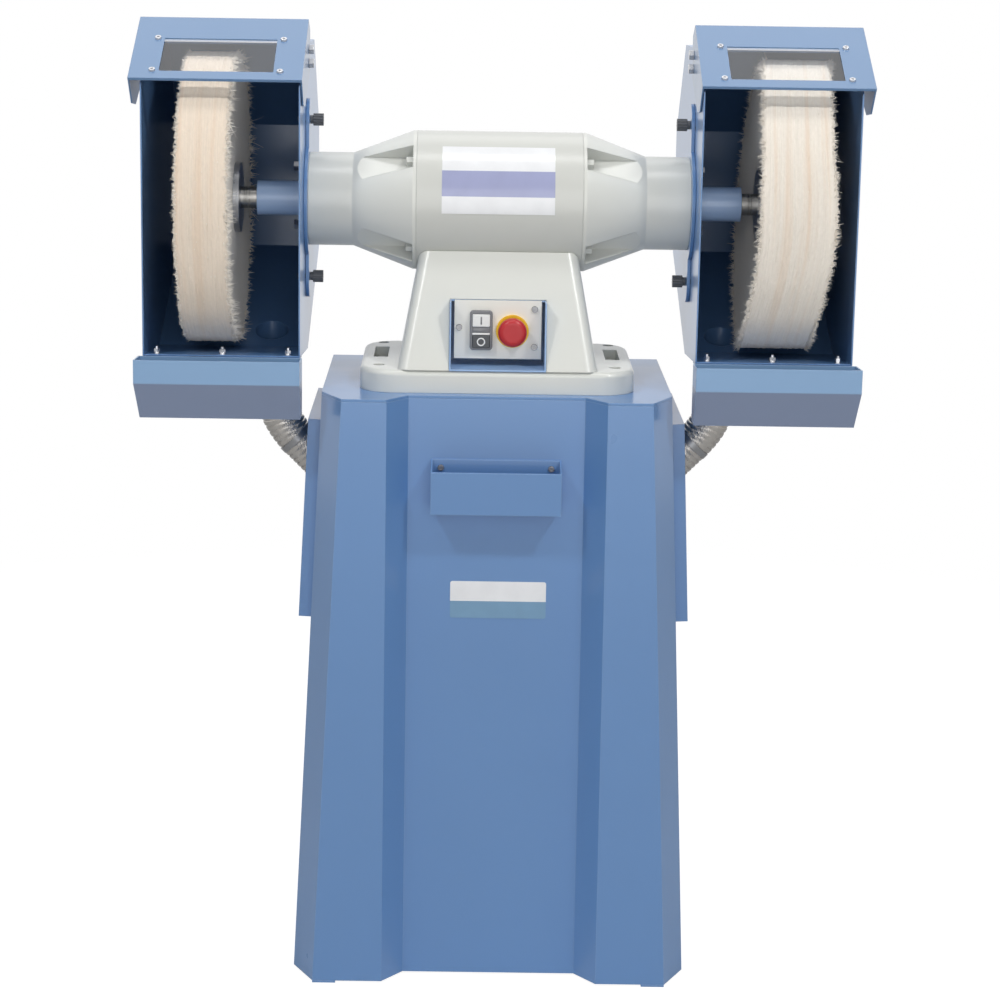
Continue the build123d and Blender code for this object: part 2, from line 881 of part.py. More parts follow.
with BuildPart() as motor_housing:
    turned(rectangle(-barrel_half, barrel_half, barrel_bore, barrel_radius))
    for angle in bell_bolt_angles:
        with BuildSketch(facing_right(-barrel_half, 0, spindle_height)):
            with Locations(Rotation(0, 0, angle)):
                with Locations((bell_bolt_circle, 0)):
                    Circle(bolt_hole_radius)
        extrude(amount=bell_bolt_depth, mode=Mode.SUBTRACT)
        with BuildSketch(facing_right(barrel_half, 0, spindle_height)):
            with Locations(Rotation(0, 0, angle)):
                with Locations((bell_bolt_circle, 0)):
                    Circle(bolt_hole_radius)
        extrude(amount=-bell_bolt_depth, mode=Mode.SUBTRACT)
save(motor_housing.part, "motor_housing")

seat_start = motor_half - bell_end_wall
bearing_end = seat_start + bearing_width + seat_gap
flange_end = barrel_half + bell_flange


def bolt_place(angle, radius, x):
    """Plane square to the spindle at an angle and radius around it, facing right."""
    turn = math.radians(angle)
    return facing_right(x, radius * math.cos(turn), spindle_height + radius * math.sin(turn))


bracket_bolts = [
    (y, z) for y in (-bracket_bolt_y, bracket_bolt_y) for z in (-bracket_bolt_z, bracket_bolt_z)
]
with BuildPart() as end_bell_right:
    turned(
        [
            (barrel_half, bell_cavity_radius),
            (seat_start, bell_cavity_radius),
            (seat_start, bearing_radius + running_clearance),
            (bearing_end, bearing_radius + running_clearance),
            (bearing_end, shaft_radius + shaft_hole_gap),
            (motor_half, shaft_radius + shaft_hole_gap),
            (motor_half, bell_neck_radius),
            (bell_neck_start, bell_neck_radius),
            (flange_end, barrel_radius),
            (barrel_half, barrel_radius),
        ]
    )
    for angle in bell_bolt_angles:
        with BuildSketch(around_spindle(angle)):
            Polygon(*rectangle(flange_end, bell_neck_start, pocket_floor, barrel_radius + pocket_width))
        extrude(amount=pocket_width / 2, both=True, mode=Mode.SUBTRACT)
        drill(bolt_place(angle, bell_bolt_circle, barrel_half), bolt_hole_radius, bell_bolt_depth)
    for y, z in bracket_bolts:
        drill(facing_right(motor_half, y, spindle_height + z), bolt_hole_radius, bracket_bolt_depth)
save_pair("end_bell", end_bell_right.part)

with BuildPart() as stator_core:
    stator_bore = rotor_radius + air_gap
    turned(rectangle(-stator_half, stator_half, stator_bore, barrel_bore - hole_clearance))
save(stator_core.part, "stator_core")

with BuildPart() as stator_windings:
    for side in (-1, 1):
        inner_end = side * stator_half
        outer_end = side * (stator_half + winding_length)
        turned(
            rectangle(
                min(inner_end, outer_end),
                max(inner_end, outer_end),
                stator_bore + winding_inset,
                barrel_bore - winding_inset,
            )
        )
    fillet(stator_windings.edges().filter_by(GeomType.CIRCLE), winding_edge)
save(stator_windings.part, "stator_windings")

bearing_middle = seat_start + bearing_width / 2
ball_circle = (shaft_radius + bearing_radius) / 2
bearing_start = bearing_middle - bearing_width / 2
bearing_stop = bearing_middle + bearing_width / 2


def ball_groove():
    """Groove for the balls in the bearing ring being made."""
    with BuildSketch(around_spindle()) as groove:
        with Locations((bearing_middle, ball_circle)):
            Circle(ball_radius + running_clearance)
    revolve(groove.sketch, axis=spindle_axis, mode=Mode.SUBTRACT)


with BuildPart() as bearing_outer_rings:
    turned(rectangle(bearing_start, bearing_stop, bearing_radius - bearing_wall, bearing_radius))
    ball_groove()
    mirror(about=Plane.YZ)
save(bearing_outer_rings.part, "bearing_outer_rings")

with BuildPart() as bearing_inner_rings:
    inner_bore = shaft_radius + running_clearance
    turned(rectangle(bearing_start, bearing_stop, inner_bore, shaft_radius + bearing_wall))
    ball_groove()
    with Locations(facing_right(bearing_middle, 0, spindle_height)):
        with PolarLocations(ball_circle, ball_count):
            Sphere(ball_radius)
    mirror(about=Plane.YZ)
save(bearing_inner_rings.part, "bearing_inner_rings")

# Spindle, wheels, flanges and nuts

with BuildPart() as spindle_shaft:
    half = [
        (rotor_seat_half, rotor_seat_radius),
        (rotor_seat_half, shaft_radius),
        (flange_face, shaft_radius),
        (flange_face, wheel_seat_radius),
        (shaft_half, wheel_seat_radius),
        (shaft_half, 0),
    ]
    turned([(-x, r) for x, r in half] + list(reversed(half)))
save(spindle_shaft.part, "spindle_shaft")

with BuildPart() as rotor_core:
    turned(rectangle(-stator_half, stator_half, rotor_seat_radius + running_clearance, rotor_radius))
save(rotor_core.part, "rotor_core")


def buff(rim_width, rim_shift):
    """Profile of a cotton wheel: clamped hub, sides that swell outwards, rounded rim."""
    middle = (hub_start + hub_end) / 2 + rim_shift
    rim_start = middle - rim_width / 2
    rim_end = middle + rim_width / 2
    return [
        (hub_start, wheel_seat_radius + running_clearance),
        (hub_end, wheel_seat_radius + running_clearance),
        (hub_end, flange_radius),
        (rim_end, wheel_waist_radius),
        (rim_end, wheel_radius - wheel_edge),
        (rim_end - wheel_edge, wheel_radius),
        (rim_start + wheel_edge, wheel_radius),
        (rim_start, wheel_radius - wheel_edge),
        (rim_start, wheel_waist_radius),
        (hub_start, flange_radius),
    ]


with BuildPart() as buff_right:
    turned(buff(right_rim_width, right_rim_shift))
save(buff_right.part, "buff_right")

with BuildPart() as buff_left:
    turned([(-x, r) for x, r in buff(left_rim_width, left_rim_shift)])
save(buff_left.part, "buff_left")

with BuildPart() as wheel_flanges:
    flange_bore = wheel_seat_radius + running_clearance
    turned(rectangle(flange_face, hub_start, flange_bore, flange_radius))
    turned(rectangle(hub_end, hub_end + flange_thickness, flange_bore, flange_radius))
    mirror(about=Plane.YZ)
save(wheel_flanges.part, "wheel_flanges")

with BuildPart() as spindle_nuts:
    with BuildSketch(facing_right(hub_end + flange_thickness, 0, spindle_height)):
        RegularPolygon(nut_radius, 6)
        Circle(flange_bore, mode=Mode.SUBTRACT)
    extrude(amount=nut_height)
    mirror(about=Plane.YZ)
save(spindle_nuts.part, "spindle_nuts")

# Control recess: lining, panel, push buttons and emergency stop

panel_bottom = base_top + panel_gap_below
panel_top = base_top + recess_height - seat_gap
panel_back = panel_face + sheet
panel_screws = [facing_front(panel_face, x, spindle_height - drop) for x, drop in panel_screw_places]
button_height_middle = spindle_height - button_drop
stop_height = spindle_height - stop_drop_from_spindle
lining_start = -recess_half_width + seat_gap + sheet

with BuildPart() as switch_box:
    lining = rectangle(
        -recess_half_width + seat_gap,
        recess_half_width - seat_gap,
        base_top,
        base_top + recess_height - seat_gap,
    )
    block(facing_front(recess_back - seat_gap), lining, base_depth)
    block(
        facing_front(recess_back - seat_gap - sheet),
        moved_edges(lining, [sheet] * 4),
        base_depth,
        Mode.SUBTRACT,
    )
    front_face = [
        (column_front_at(base_top), base_top),
        (column_front_at(column_top), column_top),
        (column_front_at(column_top) - 2 * base_depth, column_top),
        (column_front_at(base_top) - 2 * base_depth, base_top),
    ]
    block(facing_right(-base_width), front_face, 2 * base_width, Mode.SUBTRACT)
    # The roof of the lining ends behind the panel
    panel_room = rectangle(lining_start, -lining_start, panel_bottom, base_top + recess_height)
    block(facing_front(panel_back + seat_gap), panel_room, base_depth, Mode.SUBTRACT)
    for plane in panel_screws:
        disc(plane.offset(-sheet), post_radius, panel_back - recess_back + seat_gap + sheet)
        drill(plane, small_hole_radius, 2 * screw_depth)
save(switch_box.part, "switch_box")

with BuildPart() as switch_panel:
    panel = rectangle(-panel_width / 2, panel_width / 2, panel_bottom, panel_top)
    block(facing_front(panel_back), panel, sheet)
    drill(facing_front(panel_face, button_x, button_height_middle), control_hole_radius)
    drill(facing_front(panel_face, stop_x, stop_height), control_hole_radius)
    for plane in panel_screws:
        drill(plane, small_hole_radius)
save(switch_panel.part, "switch_panel")

frame_face = panel_face - button_frame_proud
button_thickness = button_frame_proud - button_travel - button_floor - seat_gap
start_plane = facing_front(frame_face, button_x, button_height_middle + start_rise)
stop_plane = facing_front(frame_face, button_x, button_height_middle - stop_drop)
with BuildPart() as button_frame:
    with BuildSketch(facing_front(panel_face, button_x, button_height_middle)):
        RectangleRounded(button_frame_width, button_frame_height, button_corner)
    extrude(amount=button_frame_proud)
    fillet(button_frame.faces().sort_by(Axis.Y)[0].edges(), button_edge)
    for plane in (start_plane, stop_plane):
        with BuildSketch(plane):
            RectangleRounded(button_width, button_height, button_edge)
        extrude(amount=-button_frame_proud + button_floor, mode=Mode.SUBTRACT)
    disc(
        facing_front(panel_face + control_depth, button_x, button_height_middle),
        control_hole_radius - hole_clearance,
        control_depth,
    )
save(button_frame.part, "button_frame")

for name, plane in (("start_button", start_plane), ("stop_button", stop_plane)):
    with BuildPart() as button:
        with BuildSketch(plane.offset(button_proud)):
            RectangleRounded(button_width - 2 * seat_gap, button_height - 2 * seat_gap, button_edge)
        extrude(amount=-button_proud - button_thickness)
        chamfer(button.faces().sort_by(Axis.Y)[0].edges(), button_proud / 2)
    save(button.part, name)

stop_front = facing_front(panel_face, stop_x, stop_height)
with BuildPart() as estop_collar:
    disc(stop_front, collar_radius, collar_thickness)
    disc(stop_front.offset(-control_depth), control_hole_radius - hole_clearance, control_depth)
    drill(stop_front, plunger_radius + seat_gap, 2 * control_depth)
save(estop_collar.part, "estop_collar")

mushroom_back = collar_thickness + mushroom_gap
with BuildPart() as estop_plunger:
    disc(stop_front.offset(-control_depth), plunger_radius, control_depth + mushroom_back)
    disc(stop_front.offset(mushroom_back), plunger_neck_radius, mushroom_height / 2)
save(estop_plunger.part, "estop_plunger")

with BuildPart() as estop_mushroom:
    disc(stop_front.offset(mushroom_back + seat_gap), mushroom_radius, mushroom_height)
    fillet(estop_mushroom.faces().sort_by(Axis.Y)[0].edges(), mushroom_height / 2)
    fillet(estop_mushroom.faces().sort_by(Axis.Y)[-1].edges(), mushroom_back_edge)
    disc(
        stop_front.offset(mushroom_back),
        plunger_neck_radius + running_clearance,
        mushroom_height / 2 + seat_gap,
        Mode.SUBTRACT,
    )
save(estop_mushroom.part, "estop_mushroom")

# Hood brackets with their guard tubes, and clamp knobs

bracket_face = motor_half + bracket_thickness
with BuildPart() as hood_bracket_right:
    with BuildSketch(facing_right(motor_half, 0, spindle_height)):
        Circle(bracket_disc_radius)
        Rectangle(2 * bracket_ear_radius, 2 * knob_circle)
        with GridLocations(0, 2 * knob_circle, 1, 2):
            Circle(bracket_ear_radius)
    extrude(amount=bracket_thickness)
    disc(facing_right(motor_half, 0, spindle_height), guard_radius, guard_length)
    drill(facing_right(motor_half, 0, spindle_height), guard_radius - guard_wall, guard_end)
    for y, z in bracket_bolts:
        drill(facing_right(bracket_face, y, spindle_height + z), bolt_hole_radius)
    for rise in (-knob_circle, knob_circle):
        drill(facing_right(bracket_face, 0, spindle_height + rise), knob_stud_radius + running_clearance)
save_pair("hood_bracket", hood_bracket_right.part)

for name, rise in (("knob_upper", knob_circle), ("knob_lower", -knob_circle)):
    knob_plane = facing_left(motor_half - seat_gap, 0, spindle_height + rise)
    inside_hood = hood_inner + sheet + seat_gap
    knob_nut_end = sheet + bolt_head_height + knob_stud_tip
    with BuildPart() as knob_right:
        disc(knob_plane, knob_collar_radius, knob_collar_length)
        with BuildSketch(knob_plane.offset(knob_collar_length)):
            Circle(knob_radius)
            with PolarLocations(knob_radius, knob_flutes):
                Circle(knob_flute_radius, mode=Mode.SUBTRACT)
        extrude(amount=knob_length)
        disc(knob_plane, knob_stud_radius, motor_half - inside_hood - knob_nut_end)
        disc(facing_right(inside_hood, 0, spindle_height + rise), knob_radius, sheet)
        with BuildSketch(facing_right(inside_hood + sheet, 0, spindle_height + rise)):
            RegularPolygon(bolt_head_radius, 6)
        extrude(amount=bolt_head_height)
    save_pair(name, knob_right.part)

with BuildPart() as head_bolts:
    for angle in bell_bolt_angles:
        hexagon_bolt(bolt_place(angle, bell_bolt_circle, flange_end), bell_bolt_head, bell_bolt_depth)
    for y, z in bracket_bolts:
        head = bolt_head_height if y < 0 else long_bolt_head
        hexagon_bolt(facing_right(bracket_face, y, spindle_height + z), head, bracket_bolt_depth)
    mirror(about=Plane.YZ)
    for plane in foot_bolts:
        hexagon_bolt(plane, bolt_head_height, foot_bolt_length)
save(head_bolts.part, "head_bolts")

# Hoods: welded sheet boxes, open at the front, that tilt about the spindle

hood_back = wheel_radius + hood_throat
hood_outline = [
    (hood_front, spindle_height - hood_floor_front_drop),
    (hood_floor_back, spindle_height - hood_floor_back_drop),
    (hood_back, spindle_height - hood_lower_fold_drop),
    (hood_back, spindle_height + hood_upper_fold_rise),
    (hood_roof_back, spindle_height + hood_roof_back_rise),
    (hood_roof_front, spindle_height + hood_roof_front_rise),
    (hood_front, spindle_height + hood_brow_rise),
]
floor_fall = (hood_floor_back_drop - hood_floor_front_drop) / (hood_floor_back - hood_front)
floor_tilt = math.atan(floor_fall)


def hood_floor_at(y):
    """Height of the underside of the hood's floor."""
    return spindle_height - hood_floor_front_drop - floor_fall * (y - hood_front)


tray_screws = [
    Plane(
        origin=(x, hood_front + tray_screw_setback, hood_floor_at(hood_front + tray_screw_setback)),
        x_dir=(1, 0, 0),
        z_dir=(0, math.sin(floor_tilt), math.cos(floor_tilt)),
    ).offset(sheet)
    for x in (hood_inner + tray_screw_inset, (hood_inner + hood_outer) / 2, hood_outer - tray_screw_inset)
]
pivot_height = spindle_height + pivot_rise
lock_height = pivot_height - lock_drop
knob_slot = Edge.make_circle(
    knob_circle, Plane.XY, quarter_turn - slot_half_angle, quarter_turn + slot_half_angle
)
hood_spigot_plane = Plane.XY.offset(spindle_height - hood_spigot_drop).move(Location((hose_x, hose_y, 0)))
hood_spigot_reach = hood_spigot_drop - hood_lower_fold_drop
wrap_start = hood_inner + sheet + weld_gap
wrap_end = hood_outer - sheet - weld_gap
with BuildPart() as hood_right:
    # Spigot, welded under the sloping lower wall
    disc(hood_spigot_plane, spigot_radius, hood_spigot_reach)
    around_wrap = moved_edges(hood_outline, [-weld_gap] * 7)
    block(facing_right(hood_inner), around_wrap, hood_width, Mode.SUBTRACT)
    # Wrap: floor, back and roof in one folded sheet
    with BuildSketch(facing_right(wrap_start)):
        Polygon(*hood_outline)
        Polygon(*moved_edges(hood_outline, [sheet] * 5 + [-hood_width] * 2), mode=Mode.SUBTRACT)
    extrude(amount=wrap_end - wrap_start)
    drill(hood_spigot_plane, spigot_radius - spigot_wall, hood_spigot_reach)
    # Side plates
    block(facing_right(hood_inner), hood_outline, sheet)
    block(facing_right(hood_outer), hood_outline, -sheet)
    drill(facing_right(hood_inner, 0, spindle_height), hood_opening_radius)
    with BuildSketch(facing_right(hood_inner, 0, spindle_height)):
        SlotArc(knob_slot, 2 * (knob_stud_radius + slot_clearance))
        SlotArc(knob_slot, 2 * (knob_stud_radius + slot_clearance), rotation=full_turn / 2)
    extrude(amount=sheet, mode=Mode.SUBTRACT)
    for x in (hood_inner, hood_outer):
        drill(facing_right(x, pivot_y, pivot_height), pivot_radius + hole_clearance)
    drill(facing_right(hood_inner, pivot_y, lock_height), lock_radius + hole_clearance)
    for plane in tray_screws:
        drill(plane, small_hole_radius)
save_pair("hood", hood_right.part)

# Lint trays hung below the hood mouths

tray_bottom = spindle_height - tray_bottom_drop
tray_bend = spindle_height - tray_bend_drop
tray_top = spindle_height - tray_top_drop
tray_back_top = hood_floor_at(tray_back) - seat_gap
tray_side_view = [
    (tray_bottom_front, tray_bottom),
    (tray_back, tray_bottom),
    (tray_back, tray_back_top),
    (tray_front, tray_top),
    (tray_front, tray_bend),
]
tray_front_view = [
    (tray_inner, tray_bottom),
    (tray_outer - tray_taper, tray_bottom),
    (tray_outer, tray_bend),
    (tray_outer, tray_top),
    (tray_inner, tray_top),
]

with BuildPart() as tray_hollow:
    hollow_side = moved_edges(tray_side_view, [sheet, sheet, -hood_width, sheet, sheet])
    hollow_front = moved_edges(tray_front_view, [sheet, sheet, sheet, -hood_width, sheet])
    block(facing_right(tray_inner), hollow_side, tray_outer - tray_inner)
    block(facing_front(tray_back), hollow_front, tray_back - tray_front, Mode.INTERSECT)

with BuildPart() as lint_tray_right:
    block(facing_right(tray_inner), tray_side_view, tray_outer - tray_inner)
    block(facing_front(tray_back), tray_front_view, tray_back - tray_front, Mode.INTERSECT)
    add(tray_hollow.part, mode=Mode.SUBTRACT)
    strip = [
        (tray_back - sheet, hood_floor_at(tray_back - sheet) - seat_gap - sheet),
        (tray_back + tray_flange, hood_floor_at(tray_back + tray_flange) - seat_gap - sheet),
        (tray_back + tray_flange, hood_floor_at(tray_back + tray_flange) - seat_gap),
        (tray_back - sheet, hood_floor_at(tray_back - sheet) - seat_gap),
    ]
    block(facing_right(hood_inner), strip, hood_width)
    for plane in tray_screws:
        drill(plane, small_hole_radius)
save_pair("lint_tray", lint_tray_right.part)

# Lids with their smoked windows

lid_length = math.hypot(lid_back - lid_front, lid_back_rise - lid_front_rise)
lid_tilt = math.atan2(lid_back_rise - lid_front_rise, lid_back - lid_front)
lid_middle = (lid_inner + lid_outer) / 2
lid_plane = Plane(
    origin=(lid_middle, lid_back, spindle_height + lid_back_rise),
    x_dir=(1, 0, 0),
    z_dir=(0, -math.sin(lid_tilt), math.cos(lid_tilt)),
)
lid_half = (lid_outer - lid_inner) / 2
lid_flange = [
    (lid_front, spindle_height + lid_front_rise),
    (flange_nose, spindle_height + flange_nose_rise),
    (flange_tip, spindle_height + flange_tip_rise),
    (flange_heel, spindle_height + flange_heel_rise),
    (flange_heel, spindle_height + flange_heel_top_rise),
    (lid_back, spindle_height + lid_back_rise),
]
window_screw_planes = [
    Plane(lid_plane.location * Location((x, y - window_middle, 0)))
    for x in (-window_width / 2 - window_screw_margin, window_width / 2 + window_screw_margin)
    for y in (-window_screw_y, window_screw_y)
]
lock_slot = Edge.make_circle(lock_drop, Plane.XY, -quarter_turn - lock_play, -quarter_turn + lock_swing)
with BuildPart() as lid_right:
    block(lid_plane, rectangle(-lid_half, lid_half, -lid_length, 0), -sheet)
    block(lid_plane, rectangle(-lid_half, lid_half, -lid_length, -lid_length + sheet), -sheet - lid_lip)
    block(facing_right(lid_inner), lid_flange, sheet)
    block(facing_right(lid_outer - sheet), lid_flange, sheet)
    with BuildSketch(lid_plane):
        with Locations((0, -window_middle)):
            RectangleRounded(window_width, window_height, window_corner)
    extrude(amount=-sheet, mode=Mode.SUBTRACT)
    for plane in window_screw_planes:
        drill(plane, small_hole_radius)
    for x in (lid_inner, lid_outer):
        drill(facing_right(x, pivot_y, pivot_height), pivot_radius + running_clearance)
    with BuildSketch(facing_right(lid_inner, pivot_y, pivot_height)):
        SlotArc(lock_slot, 2 * (lock_radius + slot_clearance))
    extrude(amount=sheet, mode=Mode.SUBTRACT)
save_pair("lid", lid_right.part)

with BuildPart() as window_right:
    with BuildSketch(lid_plane.offset(-sheet)):
        with Locations((0, -window_middle)):
            Rectangle(window_width + 2 * window_margin, window_height + 2 * window_margin)
    extrude(amount=-window_thickness)
    for plane in window_screw_planes:
        drill(plane, small_hole_radius)
save_pair("window", window_right.part)

with BuildPart() as window_screws_right:
    for plane in window_screw_planes:
        small_screw(plane)
save_pair("window_screws", window_screws_right.part)

# Fasteners that ride on the hoods: lid pivots, lid lock, tray screws and hose clamp

with BuildPart() as hood_fasteners_right:
    inner_pivot = facing_left(lid_inner - seat_gap, pivot_y, pivot_height)
    inner_lock = facing_left(lid_inner - seat_gap, pivot_y, lock_height)
    outer_pivot = facing_right(lid_outer + seat_gap, pivot_y, pivot_height)
    nut_face = hood_inner + sheet
    hexagon_bolt(inner_pivot, bolt_head_height, nut_face - lid_inner + pivot_nut, pivot_radius)
    hexagon_bolt(inner_lock, bolt_head_height, nut_face - lid_inner + pivot_nut, lock_radius)
    hexagon_bolt(outer_pivot, bolt_head_height, lid_overhang + sheet + pivot_nut, pivot_radius)
    for y, z in ((pivot_y, pivot_height), (pivot_y, lock_height)):
        with BuildSketch(facing_right(nut_face, y, z)):
            RegularPolygon(bolt_head_radius, 6)
        extrude(amount=pivot_nut)
    with BuildSketch(facing_left(hood_outer - sheet, pivot_y, pivot_height)):
        RegularPolygon(bolt_head_radius, 6)
    extrude(amount=pivot_nut)
    disc(facing_right(hood_outer, pivot_y, pivot_height), bolt_head_radius, lid_overhang - sheet - seat_gap)
    for plane in tray_screws:
        small_screw(plane)
    with BuildSketch(Plane.XY.offset(spindle_height - hose_top_drop - clamp_inset)):
        with Locations((hose_x, hose_y)):
            Circle(hose_radius + seat_gap + clamp_thickness)
            Circle(hose_radius + seat_gap, mode=Mode.SUBTRACT)
    extrude(amount=-clamp_width)
save_pair("hood_fasteners", hood_fasteners_right.part)

# Flexible suction hoses from the hoods down to the side covers

hose_top = spindle_height - hose_top_drop
hose_corner = hose_entry + hose_x - hose_entry_x
cover_face = on_side(0, hose_entry).offset(cover_proud + seat_gap)


def hose(bend_radius):
    """Hose on the right-hand side: straight down, one bend, then slanting in to the cover."""
    with BuildPart() as tube:
        with BuildLine(facing_front(hose_y)) as route:
            FilletPolyline(
                (hose_x, hose_top),
                (hose_x, hose_corner),
                (hose_entry_x - hose_radius, hose_entry - hose_radius),
                radius=bend_radius,
            )
        with BuildSketch(Plane.XY.offset(hose_top)) as ring:
            with Locations((hose_x, hose_y)):
                Circle(hose_radius)
                Circle(hose_radius - hose_wall, mode=Mode.SUBTRACT)
        sweep(ring.sketch, path=route.wire())
        split(bisect_by=cover_face, keep=Keep.TOP)
    return tube.part


save(hose(hose_bend_right), "duct_right")
with BuildPart() as duct_left:
    mirror(hose(hose_bend_left), about=Plane.YZ)
save(duct_left.part, "duct_left")

# Small screws of the cabinet and panel, and the lower hose clamps

with BuildPart() as stand_screws:
    with BuildSketch(spigot_plane.offset(hose_radius + clamp_inset)):
        Circle(hose_radius + seat_gap + clamp_thickness)
        Circle(hose_radius + seat_gap, mode=Mode.SUBTRACT)
    extrude(amount=clamp_width)
    mirror(about=Plane.YZ)
    for plane in tool_tray_screws + side_screws + back_screws + panel_screws:
        small_screw(plane)
save(stand_screws.part, "stand_screws")
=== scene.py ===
import json
import math

import bpy
import numpy as np
from bpy.props import FloatProperty, FloatVectorProperty, IntProperty, PointerProperty
from mathutils import Matrix, Vector


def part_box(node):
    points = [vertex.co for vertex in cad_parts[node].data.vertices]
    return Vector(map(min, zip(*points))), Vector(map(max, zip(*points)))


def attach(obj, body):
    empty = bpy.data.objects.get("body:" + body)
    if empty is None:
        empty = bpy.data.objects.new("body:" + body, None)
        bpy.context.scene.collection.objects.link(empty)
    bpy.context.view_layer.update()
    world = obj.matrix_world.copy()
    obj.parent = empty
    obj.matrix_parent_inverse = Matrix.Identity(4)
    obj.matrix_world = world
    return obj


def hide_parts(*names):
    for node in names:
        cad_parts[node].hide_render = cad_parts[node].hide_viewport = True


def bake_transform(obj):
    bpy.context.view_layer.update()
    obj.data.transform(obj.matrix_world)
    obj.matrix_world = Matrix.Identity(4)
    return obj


# Looks of a pedestal polishing machine: paint, castings, metals, plastics, cotton wheels, hoses and stage.

bl_info = {
    "name": "Polishing machine looks",
    "version": (1, 0, 0),
    "blender": (4, 5, 0),
    "location": "3D View > Sidebar > Polisher",
    "description": "Finishes and soft pieces of a pedestal polishing machine",
    "category": "Object",
}

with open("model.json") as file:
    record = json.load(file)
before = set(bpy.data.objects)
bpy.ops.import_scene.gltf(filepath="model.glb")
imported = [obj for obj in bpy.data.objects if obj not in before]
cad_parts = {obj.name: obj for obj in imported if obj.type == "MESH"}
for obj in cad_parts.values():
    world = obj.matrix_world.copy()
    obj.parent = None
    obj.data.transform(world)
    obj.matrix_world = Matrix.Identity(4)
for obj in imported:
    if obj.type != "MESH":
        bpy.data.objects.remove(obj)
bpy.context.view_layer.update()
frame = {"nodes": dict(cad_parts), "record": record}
SIDES = (("left", -1), ("right", 1))
FULL_TURN = 2 * np.pi
RIGHT_ANGLE = np.pi / 2
WHITE = (1.0, 1.0, 1.0, 1.0)
BLACK = (0.0, 0.0, 0.0, 1.0)

# Places on the machine, in metres

SPINDLE_HEIGHT = 1.062
GUARD_HALF = 0.0255  # half the square around the spindle that holds the guard tube
TRAY_BEND = SPINDLE_HEIGHT - 0.229
TRAY_BEND_END = SPINDLE_HEIGHT - 0.231
BARE_BOLTS = 0.2  # bolts further than this from the middle are not painted
FRONT_LABEL_TOP = 0.8
FRONT_BAND_TOP = 0.533
MOTOR_BAND = (math.radians(59.5), math.radians(81.0))  # angles from the top of the barrel to its front
COVER_WALL = 0.2616  # side cover that takes the lower end of a hose
TRAY_SCREWS = (0.2848, 0.3743, 0.4638)
TRAY_SCREW_Y = -0.1298
TRAY_SCREW_Z = 0.8615
HOOD_FLOOR_LEAN = 0.084  # in radians
FLOOR_DROP = 0.0006

# Powder coat of folded sheet

FOLD = 0.0016
POWDER_GRAIN = 1100.0
POWDER_RELIEF = 0.00005
GRAIN_STRENGTH = 0.35
GLAZE = {"Coat_Weight": 0.35, "Coat_Roughness": 0.12}


# Values


def srgb(red, green, blue):
    """Linear colour of a screen colour from 0 to 255: the usual power curve, with its straight foot."""
    part = np.array((red, green, blue)) / 255.0
    linear = np.where(part <= 0.04045, part / 12.92, ((part + 0.055) / 1.055) ** 2.4)
    return (*linear.tolist(), 1.0)


def colour(name, description, screen):
    """Colour property with its default given as a screen colour."""
    return FloatVectorProperty(
        name=name, description=description, subtype="COLOR", size=4, min=0.0, max=1.0, default=srgb(*screen)
    )


def length(name, description, metres):
    """Length property in metres."""
    return FloatProperty(name=name, description=description, default=metres, unit="LENGTH", precision=5)


def share(name, description, value):
    """Plain number property."""
    return FloatProperty(name=name, description=description, default=value)


def count(name, description, value):
    """Whole number property."""
    return IntProperty(name=name, description=description, default=value, min=1)


def power(name, description, watts):
    """Property for the power of a lamp in watts."""
    return FloatProperty(name=name, description=description, default=watts, unit="POWER")


def angle_value(name, description, radians):
    """Angle property in radians."""
    return FloatProperty(name=name, description=description, default=radians, subtype="ANGLE")


